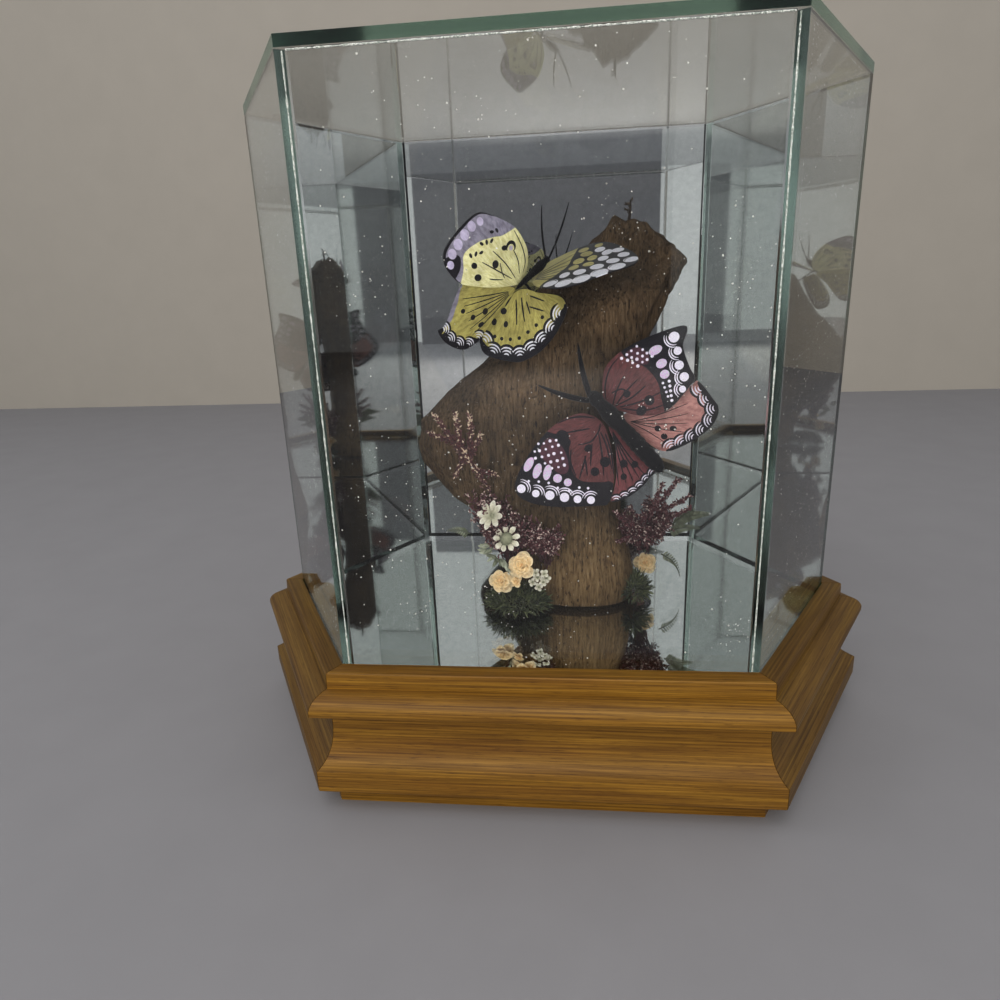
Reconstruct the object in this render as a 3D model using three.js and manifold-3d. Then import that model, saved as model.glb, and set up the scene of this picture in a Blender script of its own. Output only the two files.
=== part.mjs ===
// Six-sided glass case on a moulded wooden base, with two butterflies and dried flowers on driftwood.
import * as THREE from "three";
import { mergeVertices } from "three/addons/utils/BufferGeometryUtils.js";
import Module from "manifold-3d";

const wasm = await Module();
wasm.setup();

// Sizes of the case, in millimetres
const FRONT_WIDTH = 127;
const SIDE_WIDTH = 76.2;
const GLASS = 3;
const PANEL_HEIGHT = 177.8;
const TOP_THICKNESS = 3;
const FLOOR_TOP = 43;
const FLOOR_THICKNESS = 4;
const FIT_GAP = 0.3;

// Sizes of the wooden base
const BOARD_HEIGHT = 8.3;
const BOARD_OVERHANG = 5.9;
const MOULDING_BOTTOM = BOARD_HEIGHT + FIT_GAP;
const BAND_REACH = 13.1;
const BAND_TOP = 15.9;
const NECK_REACH = 5.9;
const COVE_TOP = 29;
const NECK_TOP = 35.4;
const BEAD_REACH = 13.4;
const BEAD_TIP = 38.2;
const RIM_REACH = 6.4;
const RIM_FOOT = 41.6;
const RIM_TOP = 46.8;
const LEDGE_REACH = -9;

// Derived levels and the six corners of the case
const LEDGE_TOP = FLOOR_TOP - FLOOR_THICKNESS - FIT_GAP;
const PANEL_FOOT = LEDGE_TOP + FIT_GAP;
const TOP_FOOT = PANEL_FOOT + PANEL_HEIGHT + FIT_GAP;
const MITRE = Math.tan(Math.PI / 6);
const HALF_DEPTH = SIDE_WIDTH * Math.cos(Math.PI / 6);
const HALF_SPAN = (FRONT_WIDTH + SIDE_WIDTH) / 2;

// Sizes of the butterflies and the plants
const WING_THICKNESS = 0.4;
const WING_CUP = 1.2;
const WIRE_RADIUS = 0.5;
const WIRE_HOLE = 0.85;

const model = new THREE.Group();

function finish(colour, roughness, metalness = 0) {
  return new THREE.MeshStandardMaterial({ color: colour, roughness, metalness });
}

const WOOD = finish(0x9c6b2f, 0.45);
const CLEAR = finish(0xcfe3dc, 0.05);
const SILVER = finish(0xc4cccb, 0.08, 1);
const BARK = finish(0x6b5844, 0.9);
const YELLOW_WING = finish(0xb9ad4a, 0.6);
const PINK_WING = finish(0x96525a, 0.6);
const BLACK_BODY = finish(0x17151b, 0.85);
const CREAM = finish(0xd8cfb4, 0.8);
const PEACH = finish(0xe6bf86, 0.8);
const HEATHER = finish(0x57252e, 0.9);
const LEAF = finish(0x3f4836, 0.9);
const MOSS = finish(0x2c3a24, 0.95);

function add(name, geometry, material) {
  const mesh = new THREE.Mesh(geometry, material);
  mesh.name = name;
  model.add(mesh);
}

// Solids that are joined or cut
function solidOf(geometry) {
  const bare = geometry.clone();
  bare.deleteAttribute("normal");
  bare.deleteAttribute("uv");
  const merged = mergeVertices(bare, 1e-4);
  return new wasm.Manifold(
    new wasm.Mesh({
      numProp: 3,
      vertProperties: new Float32Array(merged.attributes.position.array),
      triVerts: new Uint32Array(merged.index.array),
    }),
  );
}

function geometryOf(solid) {
  const mesh = solid.getMesh();
  const geometry = new THREE.BufferGeometry();
  geometry.setAttribute("position", new THREE.BufferAttribute(new Float32Array(mesh.vertProperties), 3));
  geometry.setIndex(Array.from(mesh.triVerts));
  return geometry;
}

function joined(geometries) {
  return geometries.map(solidOf).reduce((whole, next) => whole.add(next));
}

function closed(points, triangles) {
  const geometry = new THREE.BufferGeometry();
  geometry.setAttribute("position", new THREE.Float32BufferAttribute(points.flat(), 3));
  geometry.setIndex(triangles.flat());
  return geometry;
}

// Straight lengths along one side of the case, cut to the corner angle
function hexagon(overhang) {
  const reach = HALF_DEPTH + overhang;
  const corner = FRONT_WIDTH / 2 + overhang * MITRE;
  const side = HALF_SPAN + overhang / Math.cos(Math.PI / 6);
  const shape = new THREE.Shape();
  shape.moveTo(-corner, -reach);
  shape.lineTo(corner, -reach);
  shape.lineTo(side, 0);
  shape.lineTo(corner, reach);
  shape.lineTo(-corner, reach);
  shape.lineTo(-side, 0);
  shape.closePath();
  return shape;
}

function plate(overhang, foot, height) {
  const geometry = new THREE.ExtrudeGeometry(hexagon(overhang), { depth: height, bevelEnabled: false });
  return geometry.translate(0, 0, foot);
}

const SIDES = {
  front: { angle: 0, length: FRONT_WIDTH, middle: [0, -HALF_DEPTH] },
  front_right: { angle: Math.PI / 3, length: SIDE_WIDTH, middle: [(FRONT_WIDTH / 2 + HALF_SPAN) / 2, -HALF_DEPTH / 2] },
  back_right: { angle: (2 * Math.PI) / 3, length: SIDE_WIDTH, middle: [(FRONT_WIDTH / 2 + HALF_SPAN) / 2, HALF_DEPTH / 2] },
  back: { angle: Math.PI, length: FRONT_WIDTH, middle: [0, HALF_DEPTH] },
  back_left: { angle: (-2 * Math.PI) / 3, length: SIDE_WIDTH, middle: [-(FRONT_WIDTH / 2 + HALF_SPAN) / 2, HALF_DEPTH / 2] },
  front_left: { angle: -Math.PI / 3, length: SIDE_WIDTH, middle: [-(FRONT_WIDTH / 2 + HALF_SPAN) / 2, -HALF_DEPTH / 2] },
};

// A profile drawn as (outward, up) runs along a side; each end says how far it reaches at a given outward offset
function run(profile, side, startReach, endReach) {
  const geometry = new THREE.ExtrudeGeometry(profile, { depth: 1, bevelEnabled: false, curveSegments: 6 });
  const spots = geometry.attributes.position;
  for (let i = 0; i < spots.count; i++) {
    const outward = spots.getX(i);
    const up = spots.getY(i);
    const along = spots.getZ(i) < 0.5 ? endReach(outward) : -startReach(outward);
    spots.setXYZ(i, along, -outward, up);
  }
  geometry.rotateZ(side.angle);
  return geometry.translate(side.middle[0], side.middle[1], 0);
}

function mitred(side) {
  return (outward) => side.length / 2 + outward * MITRE - FIT_GAP / 2;
}

function mouldingProfile() {
  const shape = new THREE.Shape();
  shape.moveTo(LEDGE_REACH, MOULDING_BOTTOM);
  shape.lineTo(BAND_REACH - 0.8, MOULDING_BOTTOM);
  shape.lineTo(BAND_REACH, MOULDING_BOTTOM + 0.8);
  shape.lineTo(BAND_REACH, BAND_TOP);
  shape.quadraticCurveTo(NECK_REACH, BAND_TOP + 2.4, NECK_REACH, COVE_TOP);
  shape.lineTo(NECK_REACH, NECK_TOP);
  shape.lineTo(BEAD_REACH - 0.5, NECK_TOP);
  shape.lineTo(BEAD_REACH, NECK_TOP + 0.6);
  shape.lineTo(BEAD_REACH, BEAD_TIP - 0.6);
  shape.quadraticCurveTo(BEAD_REACH - 1.2, RIM_FOOT - 0.4, RIM_REACH, RIM_FOOT);
  shape.lineTo(RIM_REACH - 0.2, RIM_TOP - 0.5);
  shape.lineTo(RIM_REACH - 0.7, RIM_TOP);
  shape.lineTo(FIT_GAP, RIM_TOP);
  shape.lineTo(FIT_GAP, LEDGE_TOP);
  shape.lineTo(LEDGE_REACH, LEDGE_TOP);
  shape.closePath();
  return shape;
}

// Wooden base
add("base_board", plate(BOARD_OVERHANG, 0, BOARD_HEIGHT), WOOD);
for (const [place, side] of Object.entries(SIDES)) {
  add(`moulding_${place}`, run(mouldingProfile(), side, mitred(side), mitred(side)), WOOD);
}

// Mirror floor, panels and top
function panelProfile() {
  const shape = new THREE.Shape();
  shape.moveTo(-GLASS, PANEL_FOOT);
  shape.lineTo(0, PANEL_FOOT);
  shape.lineTo(0, PANEL_FOOT + PANEL_HEIGHT);
  shape.lineTo(-GLASS, PANEL_FOOT + PANEL_HEIGHT);
  shape.closePath();
  return shape;
}

const squareEnd = (side) => () => side.length / 2;
const betweenSides = () => FRONT_WIDTH / 2 - GLASS * Math.cos(Math.PI / 6) - FIT_GAP;

add("mirror_floor", plate(-GLASS - FIT_GAP, FLOOR_TOP - FLOOR_THICKNESS, FLOOR_THICKNESS), SILVER);
add("glass_front", run(panelProfile(), SIDES.front, betweenSides, betweenSides), CLEAR);
add("glass_front_left", run(panelProfile(), SIDES.front_left, mitred(SIDES.front_left), squareEnd(SIDES.front_left)), CLEAR);
add("glass_front_right", run(panelProfile(), SIDES.front_right, squareEnd(SIDES.front_right), mitred(SIDES.front_right)), CLEAR);
for (const place of ["back", "back_left", "back_right"]) {
  const side = SIDES[place];
  add(`mirror_${place}`, run(panelProfile(), side, mitred(side), mitred(side)), SILVER);
}
add("glass_top", plate(0, TOP_FOOT, TOP_THICKNESS), CLEAR);

// Driftwood: level, left edge, right edge, front and back of the stump
const WOOD_FOOT = FLOOR_TOP + FIT_GAP;
const STUMP = [
  [WOOD_FOOT, -8, 31, -15, 21],
  [50, -9, 31.5, -15.5, 20],
  [60, -10, 30, -15, 18],
  [68, -15, 27.5, -14.5, 16],
  [76, -25, 26, -14.5, 14],
  [84, -38, 26, -14.5, 13],
  [92, -46, 26, -14, 12],
  [102, -48.7, 26.5, -14, 11],
  [112, -44.5, 27, -13.5, 11],
  [120, -39.5, 28, -13, 11],
  [128, -30, 30, -12, 11],
  [136, -19, 33, -11.5, 11],
  [144, -11.5, 37, -10.5, 12],
  [152, -6.5, 41.5, -8.5, 13],
  [158, -2, 45.5, -5, 14],
  [164.5, 8, 47.7, 1, 14],
  [169, 15.3, 43.2, 2, 13],
  [173, 19.3, 38, 3, 12],
  [177, 22.8, 32, 4, 10],
  [179.8, 26.8, 29.4, 5.5, 8],
];
const STUMP_RINGS = 34;
const STUMP_SPOKES = 28;
const FURROW = 0.7;
const SQUARENESS = 0.8;

function stumpRow(share) {
  const place = share * (STUMP.length - 1);
  const below = Math.min(Math.floor(place), STUMP.length - 2);
  return STUMP[below].map((value, i) => THREE.MathUtils.lerp(value, STUMP[below + 1][i], place - below));
}

function bulge(cosine) {
  return Math.sign(cosine) * Math.abs(cosine) ** SQUARENESS;
}

function stump(clearance) {
  const points = [];
  const triangles = [];
  for (let ring = 0; ring < STUMP_RINGS; ring++) {
    const [level, left, right, front, back] = stumpRow(ring / (STUMP_RINGS - 1));
    for (let spoke = 0; spoke < STUMP_SPOKES; spoke++) {
      const turn = (2 * Math.PI * spoke) / STUMP_SPOKES;
      const fades = Math.sin((Math.PI * (ring + 1)) / (STUMP_RINGS + 1)) ** 0.5;
      const furrow = FURROW * fades * Math.sin(7 * turn + 0.05 * level) * Math.cos(3 * turn - 0.11 * level);
      const wide = (right - left) / 2 + furrow + clearance;
      const deep = (back - front) / 2 + furrow + clearance;
      points.push([
        (left + right) / 2 + wide * bulge(Math.cos(turn)),
        (front + back) / 2 + deep * bulge(Math.sin(turn)),
        level,
      ]);
    }
  }
  const under = points.push([12, 2, WOOD_FOOT - clearance]) - 1;
  const over = points.push([28, 6.7, STUMP[STUMP.length - 1][0] + 0.4 + clearance]) - 1;
  const last = (STUMP_RINGS - 1) * STUMP_SPOKES;
  for (let spoke = 0; spoke < STUMP_SPOKES; spoke++) {
    const next = (spoke + 1) % STUMP_SPOKES;
    triangles.push([under, next, spoke], [over, last + spoke, last + next]);
    for (let ring = 0; ring < STUMP_RINGS - 1; ring++) {
      const low = ring * STUMP_SPOKES;
      const high = low + STUMP_SPOKES;
      triangles.push([low + spoke, low + next, high + next], [low + spoke, high + next, high + spoke]);
    }
  }
  return closed(points, triangles);
}

// Round tapering rods for feelers, wires and stems
function rod(from, to, startRadius, endRadius, spokes = 6) {
  const start = new THREE.Vector3(...from);
  const way = new THREE.Vector3(...to).sub(start);
  const geometry = new THREE.CylinderGeometry(endRadius, startRadius, way.length(), spokes);
  geometry.translate(0, way.length() / 2, 0);
  geometry.applyQuaternion(new THREE.Quaternion().setFromUnitVectors(new THREE.Vector3(0, 1, 0), way.clone().normalize()));
  return geometry.translate(start.x, start.y, start.z);
}

// Butterfly bodies, turned from tail to head; each row is the share of the length and the radius
function body(tail, head, rows, feelers, wire) {
  const start = new THREE.Vector3(...tail);
  const way = new THREE.Vector3(...head).sub(start);
  const outline = rows.map(([share, radius]) => new THREE.Vector2(radius, share * way.length()));
  const trunk = new THREE.LatheGeometry(outline, 12);
  trunk.applyQuaternion(new THREE.Quaternion().setFromUnitVectors(new THREE.Vector3(0, 1, 0), way.clone().normalize()));
  trunk.translate(start.x, start.y, start.z);
  const rods = feelers.map(({ from, to, thick }) => rod(from, to, thick, 0.2));
  return geometryOf(joined([trunk, ...rods, rod(wire.from, wire.to, WIRE_RADIUS, WIRE_RADIUS)]));
}

const YELLOW_WIRE = { from: [-6.9, -14.8, 159.8], to: [0.5, 0, 149] };
const PINK_WIRE = { from: [21.5, -22, 115.5], to: [19, -6, 113] };

const drilled = [YELLOW_WIRE, PINK_WIRE].reduce(
  (wood, wire) => wood.subtract(solidOf(rod(wire.from, wire.to, WIRE_HOLE, WIRE_HOLE).translate(0, 0.4, 0))),
  solidOf(stump(0)),
);
add("driftwood", geometryOf(drilled), BARK);
const grownWood = solidOf(stump(FIT_GAP));

add(
  "yellow_butterfly_body",
  body(
    [-9.6, -14.6, 157.4],
    [1.6, -15.6, 167],
    [[0, 0], [0.06, 0.5], [0.3, 1], [0.48, 1.1], [0.56, 1.3], [0.72, 1.6], [0.84, 1.2], [0.88, 0.9], [0.94, 1.1], [0.98, 0.8], [1, 0]],
    [
      { from: [0.6, -15.5, 166], to: [-0.6, -13, 182.8], thick: 0.55 },
      { from: [1.4, -15.5, 166.4], to: [8, -13, 183.3], thick: 0.55 },
    ],
    YELLOW_WIRE,
  ),
  BLACK_BODY,
);
add(
  "pink_butterfly_body",
  body(
    [38.6, -23.4, 97.4],
    [14.2, -23.4, 124.6],
    [[0, 0], [0.03, 1.7], [0.1, 2.6], [0.35, 2.8], [0.52, 2.5], [0.57, 2.2], [0.63, 2.8], [0.74, 2.9], [0.82, 2.2], [0.85, 2], [0.91, 2.5], [0.97, 1.7], [1, 0]],
    [
      { from: [14.6, -23.6, 122.4], to: [10.7, -22, 140], thick: 1 },
      { from: [14.2, -23.6, 121.8], to: [-2.4, -22, 126.8], thick: 1 },
    ],
    PINK_WIRE,
  ),
  BLACK_BODY,
);

// Wings: thin cupped sheets. Root, tip and rear corner set the sheet in space;
// the outline is drawn as (towards the tip, towards the rear corner)
const OUTLINE_STEPS = 26;
const SHEET_RINGS = 3;

function wing({ root, tip, corner, outline }) {
  const origin = new THREE.Vector3(...root);
  const along = new THREE.Vector3(...tip).sub(origin);
  const length = along.length();
  along.normalize();
  const across = new THREE.Vector3(...corner).sub(origin);
  across.addScaledVector(along, -across.dot(along)).normalize();
  const facing = new THREE.Vector3().crossVectors(along, across);
  if (facing.y > 0) facing.negate();
  const curve = new THREE.CatmullRomCurve3(outline.map(([s, t]) => new THREE.Vector3(s, t, 0)), true);
  const rim = curve.getPoints(OUTLINE_STEPS).slice(0, OUTLINE_STEPS);
  const middle = rim.reduce((sum, spot) => sum.add(spot), new THREE.Vector3()).divideScalar(OUTLINE_STEPS);
  const sheet = (spot, lift) => {
    const cup = WING_CUP * Math.sin(Math.PI * THREE.MathUtils.clamp(spot.x / length, 0, 1));
    return origin
      .clone()
      .addScaledVector(along, spot.x)
      .addScaledVector(across, spot.y)
      .addScaledVector(facing, cup + lift)
      .toArray();
  };
  const points = [];
  const triangles = [];
  for (const lift of [WING_THICKNESS / 2, -WING_THICKNESS / 2]) {
    points.push(sheet(middle, lift));
    for (let ring = 1; ring <= SHEET_RINGS; ring++) {
      for (const spot of rim) points.push(sheet(middle.clone().lerp(spot, ring / SHEET_RINGS), lift));
    }
  }
  const face = 1 + SHEET_RINGS * OUTLINE_STEPS;
  const edge = 1 + (SHEET_RINGS - 1) * OUTLINE_STEPS;
  for (let i = 0; i < OUTLINE_STEPS; i++) {
    const next = (i + 1) % OUTLINE_STEPS;
    triangles.push([0, 1 + i, 1 + next], [face, face + 1 + next, face + 1 + i]);
    for (let ring = 0; ring < SHEET_RINGS - 1; ring++) {
      const inner = 1 + ring * OUTLINE_STEPS;
      const outer = inner + OUTLINE_STEPS;
      triangles.push([inner + i, outer + i, outer + next], [inner + i, outer + next, inner + next]);
      triangles.push(
        [face + inner + i, face + outer + next, face + outer + i],
        [face + inner + i, face + inner + next, face + outer + next],
      );
    }
    triangles.push([edge + i, face + edge + i, face + edge + next], [edge + i, face + edge + next, edge + next]);
  }
  const inward = new THREE.Vector3().crossVectors(along, across).dot(facing) < 0;
  const clockwise = THREE.ShapeUtils.isClockWise(rim.map((spot) => new THREE.Vector2(spot.x, spot.y)));
  const turned = inward !== clockwise ? triangles.map(([a, b, c]) => [a, c, b]) : triangles;
  return closed(points, turned);
}

const YELLOW_WINGS = {
  left_forewing: {
    root: [-8.3, -13, 159.4],
    tip: [-19.2, -30, 180.1],
    corner: [-26.6, -32, 161.9],
    outline: [
      [0, 0], [1.6, -4.3], [6.4, -7.6], [12.5, -8.2], [17.7, -7.4], [24.4, -3.8], [28.9, 0], [30, 7.2],
      [29, 14.9], [26.4, 18], [22.6, 18.7], [17.6, 17.8], [12.5, 13.9], [7.5, 9.4], [2.9, 4.3],
    ],
  },
  left_hindwing: {
    root: [-10.1, -13, 157.5],
    tip: [-32.8, -31, 145.5],
    corner: [-22, -19, 143],
    outline: [
      [0, 0], [9.2, -6.2], [15.2, -9.4], [20.2, -11.2], [24.3, -7], [27.1, -3.2], [29.5, -1], [31.7, -0.2],
      [30, 4.9], [25.1, 9.6], [20, 9.8], [17.2, 8.6], [9.1, 3.7],
    ],
  },
  right_forewing: {
    root: [-6.7, -13, 159.3],
    tip: [29.2, -24, 165.1],
    corner: [4.6, -30, 156.3],
    outline: [
      [2.8, 0.6], [2.5, -6], [3.2, -11], [6.2, -14.6], [16.2, -19.9], [24.5, -18.7], [34.1, -8.3], [38, 0],
      [36.4, 5.4], [29.8, 9], [25, 11.9], [21.6, 14], [15, 13.6], [7.6, 8.3],
    ],
  },
  right_hindwing: {
    root: [-8.4, -13, 157.1],
    tip: [-12.1, -17, 134.7],
    corner: [6.9, -19, 152],
    outline: [
      [0, -0.2], [7.7, -6.5], [15.9, -11.2], [19.6, -11.1], [22.1, -9.1], [23.2, -4.4], [23.4, 0.1], [23, 4.4],
      [19.1, 10.6], [12.6, 15.5], [6, 17.6], [3.2, 16.8], [0.9, 14], [0.4, 7.2],
    ],
  },
};
const PINK_WINGS = {
  left_forewing: {
    root: [18.6, -19, 113.4],
    tip: [-10.4, -25, 92.1],
    corner: [20.3, -24, 86.3],
    outline: [
      [0, 0], [1.6, -4.5], [4.9, -7.5], [12.3, -9.2], [20, -8.4], [29.1, -5.6], [35.3, -2.1], [37.5, 1.8],
      [35.4, 7], [30.4, 12.4], [23.9, 17.4], [18.3, 21.3], [14.9, 22.9], [9.8, 19], [4.8, 12.5], [1.1, 4.7],
    ],
  },
  left_hindwing: {
    root: [21, -18.6, 111.9],
    tip: [27.4, -22.5, 88.6],
    corner: [36.5, -19, 96.7],
    outline: [
      [0, 0], [6.7, 0.1], [15, -1.8], [20.2, -3.8], [24.8, -6.1], [24.8, -0.1], [22.7, 5.4], [20.3, 8.9],
      [18.4, 11.2], [11.5, 8.1], [4.8, 4.3],
    ],
  },
  right_forewing: {
    root: [20.9, -19, 118.5],
    tip: [44.3, -24, 143.9],
    corner: [46.8, -27.5, 127.4],
    outline: [
      [0, 0], [1.4, -4.2], [4.3, -7.4], [8.6, -10.1], [15, -10], [22.2, -7.9], [30.9, -3.8], [35.2, -0.9],
      [34.6, 1], [30.6, 3.5], [27.6, 9.8], [26.4, 13.5], [23.1, 14.2], [15.9, 14.9], [10.8, 13.7], [5.7, 9.4], [2.3, 4.1],
    ],
  },
  right_hindwing: {
    root: [24.9, -18.6, 116.1],
    tip: [55, -26.5, 118.3],
    corner: [40.6, -20.5, 104.5],
    outline: [
      [0.6, 0.6], [6.3, -1.2], [13.2, -2.6], [18.3, -5.2], [23.4, -8.8], [25.6, -10], [29.2, -4.8], [31.4, 0],
      [28.7, 5.6], [21.7, 10.6], [14.3, 13.3], [8.8, 10.7], [3.9, 5.4],
    ],
  },
};
for (const [place, shape] of Object.entries(YELLOW_WINGS)) add(`yellow_butterfly_${place}`, wing(shape), YELLOW_WING);
for (const [place, shape] of Object.entries(PINK_WINGS)) add(`pink_butterfly_${place}`, wing(shape), PINK_WING);

// Rounded clumps: uneven balls for sprays, moss and roses
function clump(middle, reach, roughness, spokes = 12, rings = 8) {
  const geometry = new THREE.SphereGeometry(1, spokes, rings);
  const spots = geometry.attributes.position;
  for (let i = 0; i < spots.count; i++) {
    const [x, y, z] = [spots.getX(i), spots.getY(i), spots.getZ(i)];
    const swell = 1 + roughness * Math.sin(5.1 * x + 2 * y) * Math.sin(4.3 * z - 3 * y + 1);
    spots.setXYZ(i, x * swell * reach[0], y * swell * reach[1], z * swell * reach[2]);
  }
  return geometry.translate(...middle);
}

function trimmed(geometry) {
  const floorBlock = new THREE.BoxGeometry(300, 300, 100).translate(0, 0, WOOD_FOOT - 50);
  return geometryOf(solidOf(geometry).subtract(grownWood).subtract(solidOf(floorBlock)));
}

// Daisies: a domed centre with a ring of rounded petals
function daisy(middle, facing, centreRadius, petalCount, petalLength, petalWidth) {
  const pieces = [new THREE.SphereGeometry(centreRadius, 8, 5).scale(1, 1, 0.7)];
  for (let i = 0; i < petalCount; i++) {
    const petal = new THREE.SphereGeometry(1, 6, 3);
    petal.scale(petalLength / 2, petalWidth / 2, 0.5);
    petal.translate(centreRadius * 0.7 + petalLength / 2, 0, 0);
    petal.rotateZ((2 * Math.PI * i) / petalCount);
    pieces.push(petal);
  }
  const turn = new THREE.Quaternion().setFromUnitVectors(new THREE.Vector3(0, 0, 1), new THREE.Vector3(...facing).normalize());
  const whole = geometryOf(joined(pieces));
  whole.applyQuaternion(turn);
  return whole.translate(...middle);
}

const TOWARDS_VIEWER = [-0.15, -0.9, 0.4];
const daisyUpper = daisy([-19.6, -22, 81.4], [-0.4, -0.8, 0.5], 1.3, 10, 4, 1.9);
const daisyLower = daisy([-14.9, -22, 72.8], TOWARDS_VIEWER, 2.5, 12, 2.7, 2.3);
const roseLarge = clump([-9.8, -21.5, 62], [4.4, 3.6, 4.2], 0.12);
const roseLeft = clump([-17.6, -20.5, 55.6], [3.9, 3.4, 3.9], 0.12);
const roseBud = clump([-11.8, -22.4, 56.4], [1.9, 1.7, 1.7], 0.1, 8, 6);
const roseRight = clump([35.7, 4, 53.8], [3.8, 3.4, 3.6], 0.12);
const florets = joined(
  [[0, 0, 0], [2.4, -0.3, 1.6], [-1.8, -0.5, -1.6], [2, -0.6, -1.4], [0.4, -0.9, -3.2], [3.2, 0.2, -0.4]].map(([x, y, z]) =>
    new THREE.SphereGeometry(1.5, 6, 5).translate(-4.2 + x, -21 + y, 57.6 + z),
  ),
);

add("daisy_upper", daisyUpper, CREAM);
add("daisy_lower", daisyLower, CREAM);
add("rose_large", roseLarge, PEACH);
add("rose_left", roseLeft, PEACH);
add("rose_bud", roseBud, PEACH);
add("rose_right", trimmed(roseRight), PEACH);
add("white_florets", geometryOf(florets), CREAM);

// Dried heather, sprigs and fronds, trimmed where they press on wood and flowers
add("spray_left", trimmed(clump([-21, -14.5, 78], [10, 4.2, 13], 0.1)), HEATHER);
add("spray_centre", trimmed(clump([-1.5, -17, 71], [7.6, 3.4, 8], 0.1)), HEATHER);
add("spray_right", trimmed(clump([35.5, -3, 73], [13, 8, 12], 0.1)), HEATHER);
add("sprig_on_wood", trimmed(clump([-33, -14.5, 104.5], [8.5, 2.4, 10.5], 0.06)), HEATHER);
add("sprig_on_top", geometryOf(joined([rod([28, 6.7, 180.8], [28.6, 6.2, 185], 1, 0.4)])), BARK);
add("frond_left", geometryOf(joined([rod([-30.5, -15, 72.6], [-36, -15, 73.4], 1.2, 0.5)])), LEAF);
add("frond_right", geometryOf(joined([rod([50, 0, 73], [57, 0, 74], 2.4, 1)])), LEAF);
add("frond_low", geometryOf(joined([rod([42.5, 3, 56.5], [48.7, 2, 49.5], 1.6, 0.7)])), LEAF);
add("moss_left", trimmed(clump([-12, -14, 44], [13, 10, 7], 0.08)), MOSS);
add("moss_right", trimmed(clump([32, -4, 45], [6, 9, 8], 0.08)), MOSS);

export default model;
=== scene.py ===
import math
import random

import bpy
import numpy as np
from mathutils import Matrix, Vector, noise
from mathutils.geometry import delaunay_2d_cdt


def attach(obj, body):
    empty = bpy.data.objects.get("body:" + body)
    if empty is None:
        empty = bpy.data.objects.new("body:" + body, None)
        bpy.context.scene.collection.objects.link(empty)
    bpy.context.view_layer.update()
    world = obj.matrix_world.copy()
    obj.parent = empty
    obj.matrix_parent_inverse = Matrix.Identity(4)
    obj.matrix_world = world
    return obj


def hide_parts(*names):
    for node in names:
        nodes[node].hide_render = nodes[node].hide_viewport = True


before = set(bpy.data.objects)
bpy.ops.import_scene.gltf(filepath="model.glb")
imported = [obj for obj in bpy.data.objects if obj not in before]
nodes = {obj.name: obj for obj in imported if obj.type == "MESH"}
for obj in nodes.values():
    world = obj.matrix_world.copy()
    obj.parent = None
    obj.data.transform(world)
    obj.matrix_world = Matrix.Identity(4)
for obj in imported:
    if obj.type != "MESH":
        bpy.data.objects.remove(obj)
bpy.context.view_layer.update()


# Wooden base
# Six lengths of moulding, mitred and glued at the corners, on a thin board that is set back under them.
# The wood is stained golden brown and lacquered, with the grain along each length.
# All lengths but the front one are painted darker and bluer: painted shade, with a painted bluish reflection
# of daylight, on the lengths that face away from the front light.
MM = 0.001
FRONT_WIDTH = 127.0
SIDE_WIDTH = 76.2
CORNER_TURN = math.radians(30)
HALF_DEPTH = SIDE_WIDTH * math.cos(CORNER_TURN)
HALF_SPAN = (FRONT_WIDTH + SIDE_WIDTH) / 2
MITRE_GAP = 0.12
MOULDING_STEPS = 8
RIM_TOP = 46.8
BOARD_TOP = 8.3
BOARD_OVERHANG = 5.9
PURE_WHITE = (1, 1, 1, 1)


def colour(red, green, blue):
    """A paint-chart colour, 0 to 255, as the renderer's light values."""
    shares = [c / 255 for c in (red, green, blue)]
    return tuple(((c + 0.055) / 1.055) ** 2.4 if c > 0.04 else c / 12.92 for c in shares) + (1,)


def blank_material(name):
    material = bpy.data.materials.new(name)
    material.use_nodes = True
    return material, material.node_tree


def add_node(tree, kind, values=None, **settings):
    made = tree.nodes.new(kind)
    for key, value in settings.items():
        setattr(made, key, value)
    for key, value in (values or {}).items():
        made.inputs[key].default_value = value
    return made


def attribute(tree, name, output):
    return add_node(tree, "ShaderNodeAttribute", attribute_name=name).outputs[output]


def stretched(tree, place, scale):
    mapping = add_node(tree, "ShaderNodeMapping", {"Scale": scale})
    tree.links.new(place, mapping.inputs["Vector"])
    return mapping.outputs["Vector"]


def cloudy(tree, place, scale, detail=5.0, roughness=0.55):
    made = add_node(tree, "ShaderNodeTexNoise", {"Scale": scale, "Detail": detail, "Roughness": roughness})
    tree.links.new(place, made.inputs["Vector"])
    return made.outputs["Fac"]


def ramp(tree, amount, stops):
    made = add_node(tree, "ShaderNodeValToRGB")
    while len(made.color_ramp.elements) < len(stops):
        made.color_ramp.elements.new(0.5)
    for element, (place, shade) in zip(made.color_ramp.elements, stops):
        element.position = place
        element.color = shade
    tree.links.new(amount, made.inputs["Fac"])
    return made.outputs["Color"]


def blended(tree, amount, first, second, way="MIX"):
    made = add_node(tree, "ShaderNodeMix", data_type="RGBA", blend_type=way)
    for socket, value in ((made.inputs[0], amount), (made.inputs[6], first), (made.inputs[7], second)):
        if isinstance(value, (int, float, tuple)):
            socket.default_value = value
        else:
            tree.links.new(value, socket)
    return made.outputs[2]


def raised(tree, amount, strength, distance):
    made = add_node(tree, "ShaderNodeBump", {"Strength": strength, "Distance": distance})
    tree.links.new(amount, made.inputs["Height"])
    return made.outputs["Normal"]


def finished(material, tone, relief=None, **values):
    """Give a material its colour, its relief and the values that are the same all over it."""
    tree = material.node_tree
    skin = tree.nodes["Principled BSDF"]
    tree.links.new(tone, skin.inputs["Base Color"])
    if relief is not None:
        tree.links.new(relief, skin.inputs["Normal"])
    for key, value in values.items():
        skin.inputs[key.replace("_", " ").title()].default_value = value
    return material


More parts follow.
